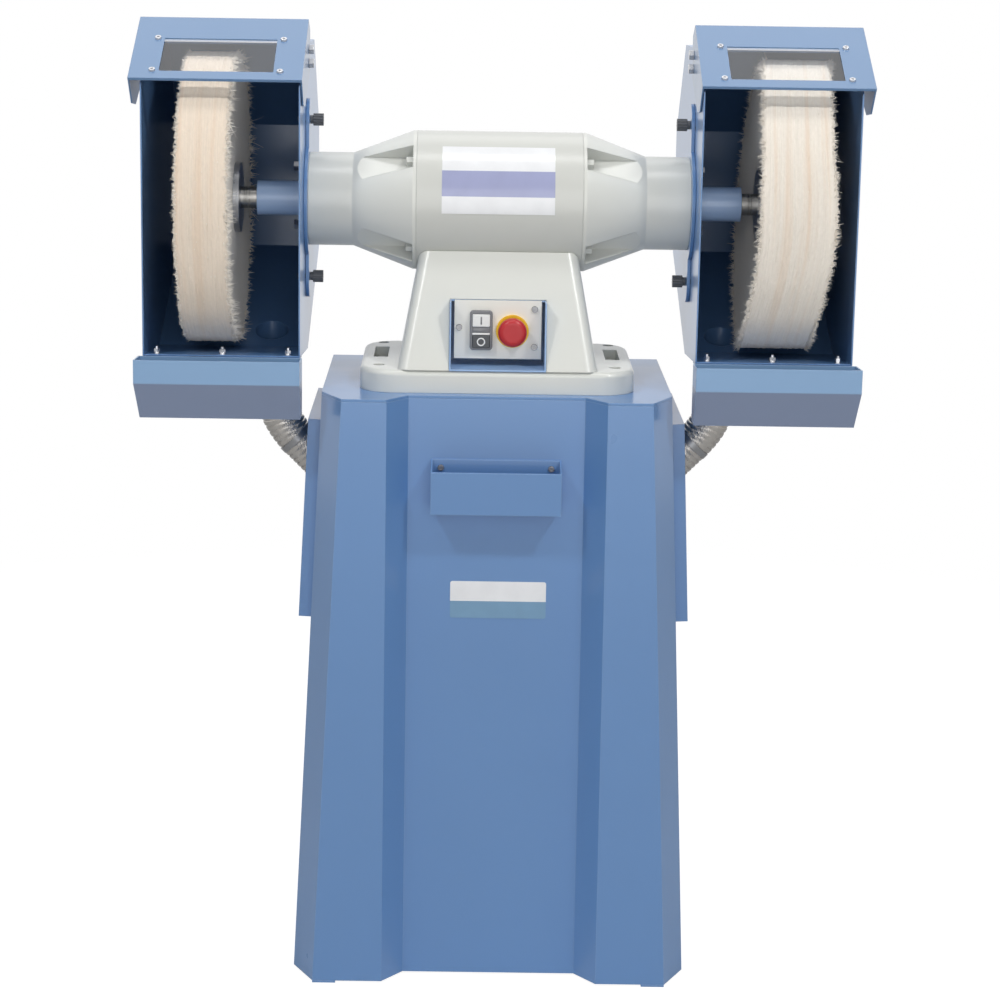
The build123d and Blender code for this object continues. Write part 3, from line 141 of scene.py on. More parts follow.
class PaintColours(bpy.types.PropertyGroup):
    """Colours of paint, plastic, metal and cloth."""

    blue: colour("Blue", "Powder coat of the cabinet and hoods", (99, 140, 191))
    # Painted highlight: paler blue laid along the folds and edges of the sheet
    blue_edge_highlight: colour("Blue edge", "Thin paint along the folds", (150, 180, 220))
    # Painted shade: darker copy of the blue for the lids, whose tops face the lamps
    lid_shaded_blue: colour("Lids", "Faded coat of the lids", (92, 130, 173))
    # Painted reflection: lighter copy of the blue for the spindle guards
    guard: colour("Guard", "Lighter coat of the spindle guards", (180, 209, 248))
    box: colour("Switch box", "Lighter coat of the switch box", (146, 180, 222))
    # Painted light: lighter copy of the blue for the trays' upright face
    tray_lit_face: colour("Tray face", "Lighter coat of the lint trays", (132, 168, 206))
    # Painted shade and painted reflection of the floor: greyer copy of the blue below the tray bend
    tray_shaded_foot: colour("Tray foot", "Greyed coat below the bend of the lint trays", (125, 139, 167))
    casting: colour("Casting", "Off-white paint of the motor and its base", (217, 218, 212))
    panel: colour("Panel", "Light grey of the switch panel", (242, 240, 232))
    zinc: colour("Zinc", "Zinc plated screws and sheets", (196, 197, 200))
    steel: colour("Steel", "Ground steel of the spindle", (176, 174, 170))
    core: colour("Core", "Steel sheets of the motor core", (112, 113, 116))
    copper: colour("Copper", "Enamelled winding wire", (186, 112, 62))
    aluminium: colour("Aluminium", "Foil of the suction hoses", (200, 196, 191))
    cotton: colour("Cotton", "Cloth of the left wheel", (251, 239, 224))
    cotton_pale: colour("Pale cotton", "Cloth of the right wheel", (253, 247, 238))
    cotton_seam: colour("Cotton seam", "Peach stitching and dust in the cloth", (232, 196, 158))
    # Painted shade: greyer copy of the cotton for the sides of the wheels
    cotton_shaded_side: colour("Cotton side", "Greyed sides of the wheels", (228, 220, 207))
    window: colour("Window", "Smoked sheet of the lids", (150, 155, 162))
    dark_plastic: colour("Dark plastic", "Knobs and cable gland", (92, 94, 98))
    frame_grey: colour("Button frame", "Frame of the push buttons", (120, 121, 125))
    start_white: colour("Start button", "White of the start button", (238, 238, 236))
    stop_dark: colour("Stop button", "Dark grey of the stop button", (70, 72, 76))
    red: colour("Emergency red", "Mushroom head of the emergency stop", (186, 30, 38))
    yellow: colour("Emergency yellow", "Collar of the emergency stop", (248, 198, 30))
    label: colour("Label", "White of the label plates", (240, 241, 243))
    label_band: colour("Label band", "Middle band of the motor label", (160, 165, 202))
    label_foot: colour("Label foot", "Lower band of the front label", (112, 154, 187))
    filter: colour("Filter", "Cloth of the filter cartridge", (222, 221, 212))
    fan_grey: colour("Fan motor", "Paint of the fan motor", (96, 98, 102))


class WheelSizes(bpy.types.PropertyGroup):
    """Sizes of the cotton wheels and their frayed edges."""

    ply: length("Ply", "Thickness of one cloth ply", 0.0021)
    ply_height: length("Ply height", "How far single plies stand out of the rim", 0.00035)
    wave: length("Wave", "Slow unevenness of the rim", 0.0009)
    lean: length("Lean", "How far the slack right wheel leans to the motor", 0.016)
    narrow: length("Narrow", "How much the slack right wheel closes up away from the front", 0.009)
    rows: count("Rows", "Steps around a wheel", 540)
    fibres: count("Fibres", "Loose threads on the left wheel", 7400)
    shaggy: share("Shaggy", "Threads of the right wheel against the left", 1.2)
    fibre_length: length("Fibre length", "Usual length of a loose thread", 0.0042)
    fibre_radius: length("Fibre radius", "Radius of a loose thread at its root", 0.00055)
    taper: length("Taper", "How far the sides draw in from the rim to the waist", 0.007)
    fray: length("Fray", "Uneven edge of the rim", 0.0006)
    seed: count("Seed", "Start of the random draws", 7)


class HoseSizes(bpy.types.PropertyGroup):
    """Sizes of the corrugated suction hoses."""

    radius: length("Radius", "Radius over the crests", 0.0278)
    depth: length("Depth", "Depth of the grooves", 0.0016)
    pitch: length("Pitch", "Distance between crests", 0.0078)
    wall: length("Wall", "Thickness of the foil wall", 0.0012)
    x: length("Place across", "Distance of the upper end from the middle", 0.3218)
    y: length("Place along", "Distance behind the spindle", 0.07)
    top: length("Top", "Height of the upper end", 0.845)
    corner: length("Corner", "Height where the two runs would meet", 0.7452)
    bend_left: length("Left bend", "Bend radius of the left hose", 0.13)
    bend_right: length("Right bend", "Bend radius of the right hose", 0.11)


class MarkSizes(bpy.types.PropertyGroup):
    """Sizes of the marks on the push buttons and of the plates between them."""

    thickness: length("Thickness", "How far a mark stands proud", 0.00025)
    bar_width: length("Bar width", "Width of the start mark", 0.0020)
    bar_height: length("Bar height", "Height of the start mark", 0.0105)
    ring_radius: length("Ring radius", "Middle radius of the stop mark", 0.0049)
    ring_width: length("Ring width", "Width of the stop mark's line", 0.0017)
    plate_width: length("Plate width", "Width of the plates between the buttons", 0.0236)
    plate_root: length("Plate root", "How deep these plates sit in the frame", 0.0003)


class StageValues(bpy.types.PropertyGroup):
    """Camera, lamps and floor."""

    camera_place: FloatVectorProperty(
        name="Camera", description="Place of the camera", subtype="TRANSLATION", unit="LENGTH",
        default=(-0.0423, -3.6852, 1.4429),
    )
    yaw: angle_value("Yaw", "Turn to the left", -0.0051)
    pitch: angle_value("Pitch", "Tilt upwards", -0.208)
    roll: angle_value("Roll", "Turn about the view", 0.0155)
    lens: FloatProperty(name="Lens", description="Focal length", default=95.18, unit="CAMERA")
    sensor: FloatProperty(name="Sensor", description="Width of the sensor", default=36.0, unit="CAMERA")
    shift_x: share("Shift across", "Sideways shift of the frame", 0.0221)
    shift_y: share("Shift up", "Upward shift of the frame", -0.0207)
    surround: share("Surround", "Strength of the white surroundings", 0.27)
    back_power: power("Back lamp", "Power of the lamp behind the machine", 12.0)
    over_power: power("Upper lamp", "Power of the strip overhead", 29.0)
    left_power: power("Left lamp", "Power of the left key lamp", 33.0)
    right_power: power("Right lamp", "Power of the right key lamp", 38.0)
    fill_power: power("Fill lamp", "Power of the front lamp", 33.0)
    floor_reach: length("Floor reach", "Half the width of the floor", 3.4)
    floor_colour: colour("Floor", "Pale studio floor", (232, 232, 232))
    fade_start: length("Fade start", "Distance where the floor begins to turn plain white", 0.7)
    fade_end: length("Fade end", "Distance where the floor is plain white", 2.4)


class PolisherValues(bpy.types.PropertyGroup):
    """All values of the looks."""

    colours: PointerProperty(name="Colours", description="Colours of the finishes", type=PaintColours)
    wheels: PointerProperty(name="Wheels", description="Sizes of the wheels", type=WheelSizes)
    hoses: PointerProperty(name="Hoses", description="Sizes of the hoses", type=HoseSizes)
    marks: PointerProperty(name="Marks", description="Sizes of the marks", type=MarkSizes)
    stage: PointerProperty(name="Stage", description="Camera, lamps and floor", type=StageValues)


# Finishes


class Graph:
    """Shader nodes of a material or of the surroundings, with short ways to add and join them."""

    def __init__(self, tree, output):
        self.nodes = tree.nodes
        self.links = tree.links
        self.output = self.nodes[output]

    def node(self, kind, inputs=None, **values):
        """New node with its values and its inputs; an input that is a socket is linked."""
        made = self.nodes.new(kind)
        for name, value in values.items():
            setattr(made, name, value)
        for name, value in (inputs or {}).items():
            if isinstance(value, bpy.types.NodeSocket):
                self.links.new(value, made.inputs[name])
            else:
                made.inputs[name].default_value = value
        return made

    def math(self, operation, first, second=0.0):
        """Sum, product or another plain operation of two values."""
        return self.node("ShaderNodeMath", {0: first, 1: second}, operation=operation).outputs[0]

    def spread(self, value, low, high, new_low, new_high):
        """Value moved from one range to another."""
        made = self.node(
            "ShaderNodeMapRange",
            {"Value": value, "From Min": low, "From Max": high, "To Min": new_low, "To Max": new_high},
        )
        return made.outputs["Result"]

    def show(self, factor, first, second):
        """Send a mixture of two shader nodes to the output."""
        both = self.node("ShaderNodeMixShader", {0: factor, 1: first.outputs[0], 2: second.outputs[0]})
        self.links.new(both.outputs[0], self.output.inputs["Surface"])


class Finish(Graph):
    """One material: a principled shader with patterns for its colour, roughness and bump."""

    def __init__(self, name, **sockets):
        self.material = bpy.data.materials.new(name)
        self.material.use_nodes = True
        super().__init__(self.material.node_tree, "Material Output")
        self.shader = self.nodes["Principled BSDF"]
        for socket, value in sockets.items():
            self.shader.inputs[socket.replace("_", " ")].default_value = value

    def place(self, output="Object"):
        """Place on the piece, in its own coordinates."""
        return self.node("ShaderNodeTexCoord").outputs[output]

    def parts(self, vector):
        """Coordinates as separate values for X, Y and Z."""
        return self.node("ShaderNodeSeparateXYZ", {"Vector": vector}).outputs

    def scaled(self, vector, scale):
        """Coordinates stretched along their axes."""
        return self.node("ShaderNodeMapping", {"Vector": vector, "Scale": scale}).outputs["Vector"]

    def noise(self, vector, scale, detail=3.0, roughness=0.5):
        """Cloudy pattern from 0 to 1."""
        made = self.node(
            "ShaderNodeTexNoise", {"Vector": vector, "Scale": scale, "Detail": detail, "Roughness": roughness}
        )
        return made.outputs["Fac"]

    def mix(self, factor, first, second):
        """Mixture of two colours."""
        return self.node("ShaderNodeMix", {0: factor, 6: first, 7: second}, data_type="RGBA").outputs[2]

    def shades(self, factor, base, dark, light):
        """Mixture of a darker and a lighter shade of one colour."""
        return self.mix(factor, tinted(base, dark), tinted(base, light))

    def set(self, socket, value):
        """Link a pattern to one input of the shader."""
        self.links.new(value, self.shader.inputs[socket])

    def edge(self, radius):
        """Rounded normal near edges, and a value that rises from 0 to 1 on them."""
        rounded = self.node("ShaderNodeBevel", {"Radius": radius}, samples=6).outputs["Normal"]
        flat = self.node("ShaderNodeNewGeometry").outputs["Normal"]
        along = self.node("ShaderNodeVectorMath", {0: rounded, 1: flat}, operation="DOT_PRODUCT")
        return rounded, self.spread(along.outputs["Value"], 0.995, 0.90, 0.0, 1.0)

    def bump(self, height, strength, distance, normal=None):
        """Surface relief from a pattern."""
        inputs = {"Height": height, "Strength": strength, "Distance": distance}
        if normal is not None:
            inputs["Normal"] = normal
        self.set("Normal", self.node("ShaderNodeBump", inputs).outputs["Normal"])


class SheetCoat(Finish):
    """Powder coat of folded sheet: a little uneven, with rounded folds, a painted highlight of paler blue
    along them, and a fine grain.
    """

    def __init__(self, name, scale):
        super().__init__(name, Roughness=0.3, **GLAZE)
        self.at = self.place()
        self.cloud = self.noise(self.at, scale, detail=4.0)

    def uneven(self, base):
        """Colour that changes by three hundredths either way."""
        return self.shades(self.cloud, base, 0.97, 1.03)

    def lay(self, paint, wear_and_highlight, edge_highlight_colour):
        """Lay the paint with a painted highlight along the folds, and the grain."""
        normal, on_edge = self.edge(FOLD)
        # Painted highlight: the paler fold colour is mixed in on the edges, by the given share
        self.set("Base Color", self.mix(self.math("MULTIPLY", on_edge, wear_and_highlight), paint, edge_highlight_colour))
        grain = self.noise(self.at, POWDER_GRAIN, detail=2.0)
        self.bump(grain, GRAIN_STRENGTH, POWDER_RELIEF, normal)
        return self


def tinted(base, factor):
    """Colour made lighter or darker by a factor."""
    return (base[0] * factor, base[1] * factor, base[2] * factor, 1.0)


def mottled(name, base, spread=0.06, scale=6.0, grain=900.0, relief=0.00006, rough=(0.3, 0.4), edge=None,
            edge_highlight_colour=None, **sockets):
    """Finish with a slightly uneven colour and gloss and a fine grain, rounded along its edges, with a
    painted highlight there when an edge colour is given.
    """
    finish = Finish(name, **sockets)
    place = finish.place()
    cloud = finish.noise(place, scale, detail=4.0)
    shade = finish.spread(cloud, 0.15, 0.85, 0.0, 1.0)
    paint = finish.shades(shade, base, 1.0 - spread, 1.0 + spread)
    normal = None
    if edge:
        normal, on_edge = finish.edge(edge)
        if edge_highlight_colour is not None:
            # Painted highlight: half the edge colour is mixed in along the edges
            paint = finish.mix(finish.math("MULTIPLY", on_edge, 0.5), paint, edge_highlight_colour)
    finish.set("Base Color", paint)
    fleck = finish.noise(place, grain, detail=2.0)
    smear = finish.noise(place, scale * 5.0)
    finish.set("Roughness", finish.spread(smear, 0.1, 0.9, rough[0], rough[1]))
    finish.bump(fleck, GRAIN_STRENGTH, relief, normal)
    return finish


def dress(finish, *names):
    """Give one finish to CAD nodes."""
    for name in names:
        mesh = frame["nodes"][name].data
        mesh.materials.clear()
        mesh.materials.append(finish.material)


def nodes_of_slot(slot):
    """Names of the nodes that use one of the record's material slots."""
    return [part["node"] for part in frame["record"]["subparts"] if part["material_slot"] == slot]


# Surfaces


def grid_faces(rows, columns, ring_rows, ring_columns):
    """Corner numbers of the quads of a grid; a ring joins its last row or column to its first."""
    row = np.arange(rows if ring_rows else rows - 1)[:, None]
    column = np.arange(columns if ring_columns else columns - 1)[None, :]
    next_row = (row + 1) % rows
    next_column = (column + 1) % columns
    corners = [
        row * columns + column,
        row * columns + next_column,
        next_row * columns + next_column,
        next_row * columns + column,
    ]
    return np.stack(corners, axis=-1).reshape(-1, 4)


def piece_from(name, points, faces, caps=()):
    """Smooth-shaded object at the origin from an array of points, an array of quads and a list of end
    faces."""
    mesh = bpy.data.meshes.new(name)
    mesh.from_pydata(points.reshape(-1, 3).tolist(), [], faces.tolist() + [list(cap) for cap in caps])
    mesh.polygons.foreach_set("use_smooth", np.ones(len(mesh.polygons), dtype=bool))
    mesh.update()
    piece = bpy.data.objects.new(name, mesh)
    bpy.context.scene.collection.objects.link(piece)
    return piece


def finish_piece(piece, finish):
    """Give a new piece its material."""
    piece.data.materials.append(finish.material)


def steps_around(many):
    """Even angles once around a circle."""
    return np.linspace(0.0, FULL_TURN, many, endpoint=False)


def bell(value, middle, width):
    """Bell curve: e to the minus square of the distance from the middle over the width."""
    return np.exp(-((value - middle) / width) ** 2)


def waves(angle, phases, steps, heights):
    """Sum of sines around a ring: each wave has a whole number of turns, a height and a phase per column."""
    total = np.zeros(np.broadcast_shapes(angle.shape, phases[0].shape))
    for phase, step, height in zip(phases, steps, heights):
        total = total + height * np.sin(step * angle + phase)
    return total


class WheelShape:
    """Profile of one cotton wheel, read from its CAD solid: a clamped hub, spreading sides and a flat rim."""

    bore = 0.01256
    clamp = 0.0485
    waist = 0.112
    edge = 0.006
    flange = 0.008
    hub = 0.052

    def __init__(self, side, sign, sizes):
        low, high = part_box(f"buff_{side}")
        flange_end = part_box("wheel_flanges")[1].x
        self.sign = sign
        self.start, self.end = (low.x, high.x) if sign > 0 else (-high.x, -low.x)
        self.radius = (high.z - low.z) / 2.0
        self.hub_end = flange_end - self.flange
        self.hub_start = self.hub_end - self.hub
        self.middle = (self.start + self.end) / 2.0
        self.width = self.end - self.start
        self.lean = sizes.lean if sign > 0 else 0.0
        self.narrow = sizes.narrow if sign > 0 else 0.0

    def sway(self, angle, x, r):
        """Sideways shift of the cloth, growing with the square of the distance from the clamp. The rim leans
        by a cosine of the angle; its front half hangs to the motor but for a bell curve just below spindle
        height. The rim also closes up evenly to its middle, but for another bell curve."""
        front = angle - RIGHT_ANGLE
        hang = np.maximum(np.sin(angle), 0.0) ** 0.5
        shift = self.lean * (0.62 * np.cos(angle) - hang * (1.0 - 0.72 * bell(front, 0.15, 0.6)))
        closing = self.narrow * (0.75 * bell(front, 0.1, 0.4) - 1.0 - 0.3 * np.cos(angle))
        return self.loose(r) * (shift + closing * (x - self.middle) / self.width)

    def loose(self, r):
        """Freedom of the cloth: 0 at the clamp and 1 at the rim."""
        return np.clip((r - self.clamp) / (self.radius - self.clamp), 0.0, 1.0) ** 2


def wheel_profile(shape, sizes, plies):
    """Profile of a wheel once round: bore, side, round edge, rim, round edge and side. The sides spread by a
    sine from the clamp to the waist. Returns places along the spindle and radii."""
    rim = np.linspace(shape.start + shape.edge, shape.end - shape.edge, plies * 3 + 1)
    rise = np.array([0.0, 0.25, 0.5, 0.75, 1.0])
    spreading = np.sin(rise * RIGHT_ANGLE)
    side_x = shape.hub_start + (shape.start + sizes.taper - shape.hub_start) * spreading
    far_x = shape.hub_end + (shape.end - sizes.taper - shape.hub_end) * spreading
    side_r = shape.clamp + (shape.waist - shape.clamp) * rise
    wall_r = np.linspace(shape.waist, shape.radius - shape.edge, 9)[1:]
    draw_in = sizes.taper * (wall_r[-1] - wall_r) / (wall_r[-1] - shape.waist)
    turn = np.linspace(0.0, RIGHT_ANGLE, 5)[1:-1]
    corner = shape.edge * (1 - np.cos(turn))
    corner_r = shape.radius - shape.edge * (1 - np.sin(turn))
    x = np.concatenate([
        [shape.hub_start], side_x, shape.start + draw_in, shape.start + corner, rim,
        (shape.end - corner)[::-1], (shape.end - draw_in)[::-1], far_x[::-1], [shape.hub_end],
    ])
    r = np.concatenate([
        [shape.bore], side_r, wall_r, corner_r, np.full(len(rim), shape.radius), corner_r[::-1],
        wall_r[::-1], side_r[::-1], [shape.bore],
    ])
    return x, r


def wheel_surface(shape, sizes, draw):
    """Grid of a wheel. Rows turn about the spindle and columns follow the profile. On the rim each ply stands
    out by its own sum of sines of the angle, with a groove between plies; the sides ripple by a few slow
    sines, and the edges fray by quick ones. Returns points, pairs for the map and the share of rim."""
    edge_reach, edge_depth = 0.004, 0.012
    plies = int(round((shape.end - shape.start - 2 * shape.edge) / sizes.ply))
    x, r = wheel_profile(shape, sizes, plies)
    on_rim = np.clip((r - (shape.radius - shape.edge)) / shape.edge, 0.0, 1.0)
    ply_place = (x - shape.start - shape.edge) / sizes.ply
    ply = np.clip(ply_place.astype(int), 0, plies)
    groove = np.abs(ply_place % 1.0 - 0.5) * 2.0
    angle = steps_around(sizes.rows)[:, None]
    steps = (2, 3, 5, 9, 17, 31, 57, 89)
    heights = np.array((0.5, 0.4, 0.4, 0.35, 0.4, 0.45, 0.5, 0.4)) * sizes.ply_height
    phases = [draw.uniform(0, FULL_TURN, plies + 1)[ply] for _ in steps]
    lift = waves(angle, phases, steps, heights) - 0.6 * sizes.ply_height * groove
    slow_phases = [np.array(draw.uniform(0, FULL_TURN)) for _ in range(4)]
    slow = waves(angle, slow_phases, (2, 3, 5, 7), np.array((0.5, 0.4, 0.3, 0.2)) * sizes.wave)
    radius = r + on_rim * (lift + slow) * np.minimum(1.0, r / shape.radius)
    ripple_phases = [draw.uniform(0, FULL_TURN) + 4.0 * x for _ in range(4)]
    ripple = waves(angle, ripple_phases, (3, 7, 13, 29), np.array((0.6, 0.5, 0.4, 0.3)) * sizes.wave)
    fray_phases = [draw.uniform(0, FULL_TURN) + 900.0 * x for _ in range(5)]
    fray = waves(angle, fray_phases, (43, 71, 113, 167, 211), np.full(5, sizes.fray))
    from_edge = np.minimum(x - shape.start, shape.end - x)
    near_edge = bell(from_edge, 0.0, edge_reach) * (r > shape.radius - edge_depth)
    move = shape.loose(r) * ripple * np.where(on_rim > 0.99, 0.4, 1.0) + near_edge * fray
    across = x + np.sign(x - shape.middle) * move + shape.sway(angle, x, r)
    y = -radius * np.sin(angle)
    z = SPINDLE_HEIGHT + radius * np.cos(angle)
    points = np.stack([shape.sign * across, y, z], axis=-1)
    along = np.concatenate([[0.0], np.cumsum(np.hypot(np.diff(x), np.diff(r)))])
    pairs = np.stack(np.broadcast_arrays(angle * shape.radius, along[None, :]), axis=-1)
    return points, pairs, np.broadcast_to(on_rim, points.shape[:2])


def thread_surface(roots, ways, bends, lengths, radius):
    """Threads as thin three-sided tubes. A thread's middle line is root + length * (t * way + t squared *
    bend) and its radius falls to a fifth at the tip. Returns points, quads and the two end triangles of
    each."""
    rings = 4
    along = np.linspace(0.0, 1.0, rings)[None, :, None]
    middle = roots[:, None] + lengths[:, None, None] * (along * ways[:, None] + along ** 2 * bends[:, None])
    helper = np.where(np.abs(ways[:, :1]) > 0.8, [[0.0, 1.0, 0.0]], [[1.0, 0.0, 0.0]])
    first = np.cross(ways, helper)
    first /= np.linalg.norm(first, axis=1, keepdims=True)
    second = np.cross(ways, first)
    turn = np.arange(3) * FULL_TURN / 3
    ring = first[:, None] * np.cos(turn)[None, :, None] + second[:, None] * np.sin(turn)[None, :, None]
    width = radius * (1.0 - 0.8 * along)[..., None]
    points = middle[:, :, None] + width * ring[:, None]
    start = np.arange(len(roots)) * rings * 3
    faces = (grid_faces(rings, 3, False, True)[None] + start[:, None, None]).reshape(-1, 4)
    root_ends = (start[:, None] + np.array([2, 1, 0])).tolist()
    tip_ends = (start[:, None] + (rings - 1) * 3 + np.array([0, 1, 2])).tolist()
    return points, faces, root_ends + tip_ends


def hose_surface(sizes, sign, bend):
    """Grid of a foil hose. Its middle line runs straight down, turns by an eighth of a circle and runs on at
    a slant to the upright wall of the cabinet, where it is cut flush. Rows follow the outside down and the
    inside back up; columns go round. The outside radius is the full radius less a narrow groove, which is the
    sixth power of half of one plus the cosine of a helix, one turn to a pitch."""
    columns, rows_to_pitch, plain_end, wall_gap = 56, 16, 0.006, 0.0012
    eighth = np.pi / 4
    tangent = bend * math.tan(eighth / 2)
    straight = sizes.top - sizes.corner - tangent
    slant = (sizes.x - COVER_WALL) * math.sqrt(2.0) - tangent - wall_gap
    total = straight + bend * eighth + slant
    around = steps_around(columns)[None, :]
    reach = total + sizes.radius * np.cos(around)
    run = np.linspace(0.0, 1.0, int(total / sizes.pitch * rows_to_pitch))[:, None] * reach
    turned = np.clip((run - straight) / bend, 0.0, eighth)
    before = np.minimum(run, straight)
    after = np.maximum(run - straight - bend * eighth, 0.0)
    x = sizes.x - bend * (1 - np.cos(turned)) - after * math.sin(eighth)
    z = sizes.top - before - bend * np.sin(turned) - after * math.cos(eighth)
    groove = (0.5 + 0.5 * np.cos(FULL_TURN * run / sizes.pitch + around)) ** 6
    fade = np.clip(np.minimum(run, reach - run) / plain_end, 0.0, 1.0)
    outer = sizes.radius - sizes.depth * groove * fade
    radius = np.concatenate([outer, outer[::-1] - sizes.wall])
    x, z, turned = (np.concatenate([values, values[::-1]]) for values in (x, z, turned))
    place_x = x + radius * np.cos(turned) * np.cos(around)
    place_z = z - radius * np.sin(turned) * np.cos(around)
    place_y = sizes.y + radius * np.sin(around)
    return np.stack([sign * place_x, place_y, place_z], axis=-1)


def loop_solid(name, rings):
    """Closed solid from stacked rings of points, with one flat face at each end."""
    count_rings, count_points = rings.shape[:2]
    faces = grid_faces(count_rings, count_points, False, True)
    first = list(range(count_points))[::-1]
    last = list(range((count_rings - 1) * count_points, count_rings * count_points))
    return piece_from(name, rings, faces, (first, last))


def rounded_outline(width, height, corner, steps=6):
    """Points of a rectangle with round corners, counter-clockwise: four quarter circles."""
    turn = np.linspace(0.0, RIGHT_ANGLE, steps)
    quarter = np.arange(4)[:, None] * RIGHT_ANGLE
    angle = (quarter + turn[None, :]).ravel()
    centre_x = np.repeat(np.array((1, -1, -1, 1)) * (width / 2 - corner), steps)
    centre_z = np.repeat(np.array((1, 1, -1, -1)) * (height / 2 - corner), steps)
    return np.stack([centre_x + corner * np.cos(angle), centre_z + corner * np.sin(angle)], axis=-1)


def front_plate(name, centre, back, thickness, outline, inset):
    """Thin plate facing the operator: its outline, and the same outline drawn in by the inset on its face."""
    shrink = 1.0 - inset / np.abs(outline).max(axis=0)
    loops = []
    for depth, scale in ((0.0, 1.0), (thickness - inset, 1.0), (thickness, shrink)):
        flat = outline * scale
        y = np.full(len(flat), back - depth)
        loops.append(np.stack([centre[0] + flat[:, 0], y, centre[1] + flat[:, 1]], axis=-1))
    return loop_solid(name, np.array(loops))


def front_ring(name, centre, back, thickness, radius, width):
    """Flat ring facing the operator: a round-cornered strip carried around a circle."""
    rows = 48
    angle = steps_around(rows)[:, None]
    strip = rounded_outline(width, thickness * 2, thickness * 0.6, steps=4)
    reach = radius + strip[None, :, 0]
    x = centre[0] + reach * np.cos(angle)
    z = centre[1] + reach * np.sin(angle)
    y = np.broadcast_to(back - strip[None, :, 1], x.shape)
    return piece_from(name, np.stack([x, y, z], axis=-1), grid_faces(rows, len(strip), True, True))


# Operators


class POLISHER_OT_sheet_metal(bpy.types.Operator):
    """Blue powder coat on the cabinet, hoods, lids, trays and brackets"""

    bl_idname = "polisher.sheet_metal"
    bl_label = "Paint sheet metal"

    def execute(self, context):
        colours = context.scene.polisher.colours
        for name, shade, parts in (
            ("blue_powder_coat", colours.blue, nodes_of_slot("blue_paint")),
            # Painted shade: the lids take the darker copy of the blue
            ("lid_powder_coat", colours.lid_shaded_blue, ("lid_left", "lid_right")),
            ("box_powder_coat", colours.box, ("switch_box",)),
        ):
            # Painted highlight along the folds of every coat, in the fold colour
            coat = mottled(
                name, shade, spread=0.035, scale=3.0, grain=POWDER_GRAIN, relief=POWDER_RELIEF,
                rough=(0.26, 0.34), edge=FOLD, edge_highlight_colour=colours.blue_edge_highlight, **GLAZE,
            )
            dress(coat, *parts)
        dress(self.tray(colours), "lint_tray_left", "lint_tray_right")
        dress(self.bracket(colours), "hood_bracket_left", "hood_bracket_right")
        dress(self.hood(colours), "hood_left", "hood_right")
        return {"FINISHED"}

    def bracket(self, colours):
        """Coat of the hood brackets, with a painted reflection: lighter on the guard around the spindle."""
        coat = SheetCoat("bracket_powder_coat", scale=5.0)
        parts = coat.parts(coat.at)
        across = coat.math("ABSOLUTE", parts["Y"])
        rise = coat.math("ABSOLUTE", coat.math("SUBTRACT", parts["Z"], SPINDLE_HEIGHT))
        # Painted reflection: the square around the spindle takes the lighter guard blue
        guard = coat.math("LESS_THAN", coat.math("MAXIMUM", across, rise), GUARD_HALF)
        paint = coat.mix(guard, coat.uneven(colours.blue), coat.uneven(colours.guard))
        return coat.lay(paint, 0.5, colours.blue_edge_highlight)

    def hood(self, colours):
        """Coat of the hoods, with painted shade: darker where little open air is around it."""
        coat = SheetCoat("hood_powder_coat", scale=4.0)
        open_air = coat.node("ShaderNodeAmbientOcclusion", {"Distance": 0.3}, samples=8).outputs["AO"]
        # Painted shade: where ambient occlusion finds little open air, the blue darkens towards a quarter of
        # itself
        painted_shade = coat.spread(open_air, 0.1, 0.7, 0.26, 0.0)
        paint = coat.mix(painted_shade, coat.uneven(colours.blue), tinted(colours.blue, 0.25))
        return coat.lay(paint, 0.2, colours.blue_edge_highlight)

    def tray(self, colours):
        """Coat of the lint trays with painted light and shade: lighter on the upright face, greyer below the
        bend for painted shade and a painted reflection of the floor.
        """
        coat = SheetCoat("tray_powder_coat", scale=3.0)
        # Painted shade below the bend: the lower face takes the greyer colour
        foot = coat.spread(coat.parts(coat.at)["Z"], TRAY_BEND, TRAY_BEND_END, 0.0, 1.0)
        paint = coat.mix(foot, coat.uneven(colours.tray_lit_face), coat.uneven(colours.tray_shaded_foot))
        return coat.lay(paint, 0.4, colours.blue_edge_highlight)


class POLISHER_OT_castings(bpy.types.Operator):
    """Off-white paint on the motor castings, with painted shade on the barrel housing and painted light on
    the base; grey paint on the panel and the fan motor
    """

    bl_idname = "polisher.castings"
    bl_label = "Paint castings"

    def execute(self, context):
        colours = context.scene.polisher.colours
        # One off-white paint: the housing takes a darker copy as painted shade, the base a lighter one as
        # painted light
        for name, factor, parts in (
            ("casting_paint", 1.02, nodes_of_slot("white_paint")),
            ("housing_shaded_paint", 0.9, ("motor_housing",)),
            ("base_lit_paint", 1.04, ("motor_base",)),
        ):
            cast = mottled(
                name, tinted(colours.casting, factor), spread=0.02, scale=9.0, grain=420.0, relief=0.00008,
                rough=(0.28, 0.38), edge=0.0025, Coat_Weight=0.3, Coat_Roughness=0.2,
            )
            dress(cast, *parts)
        plate = mottled(
            "panel_paint", colours.panel, spread=0.02, scale=12.0, grain=1300.0, rough=(0.35, 0.45),
            edge=0.0006,
        )
        dress(plate, *nodes_of_slot("panel_grey"))
        fan = mottled(
            "fan_motor_paint", colours.fan_grey, spread=0.05, grain=700.0, rough=(0.4, 0.5), edge=0.001
        )
        dress(fan, *nodes_of_slot("motor_grey"))
        return {"FINISHED"}


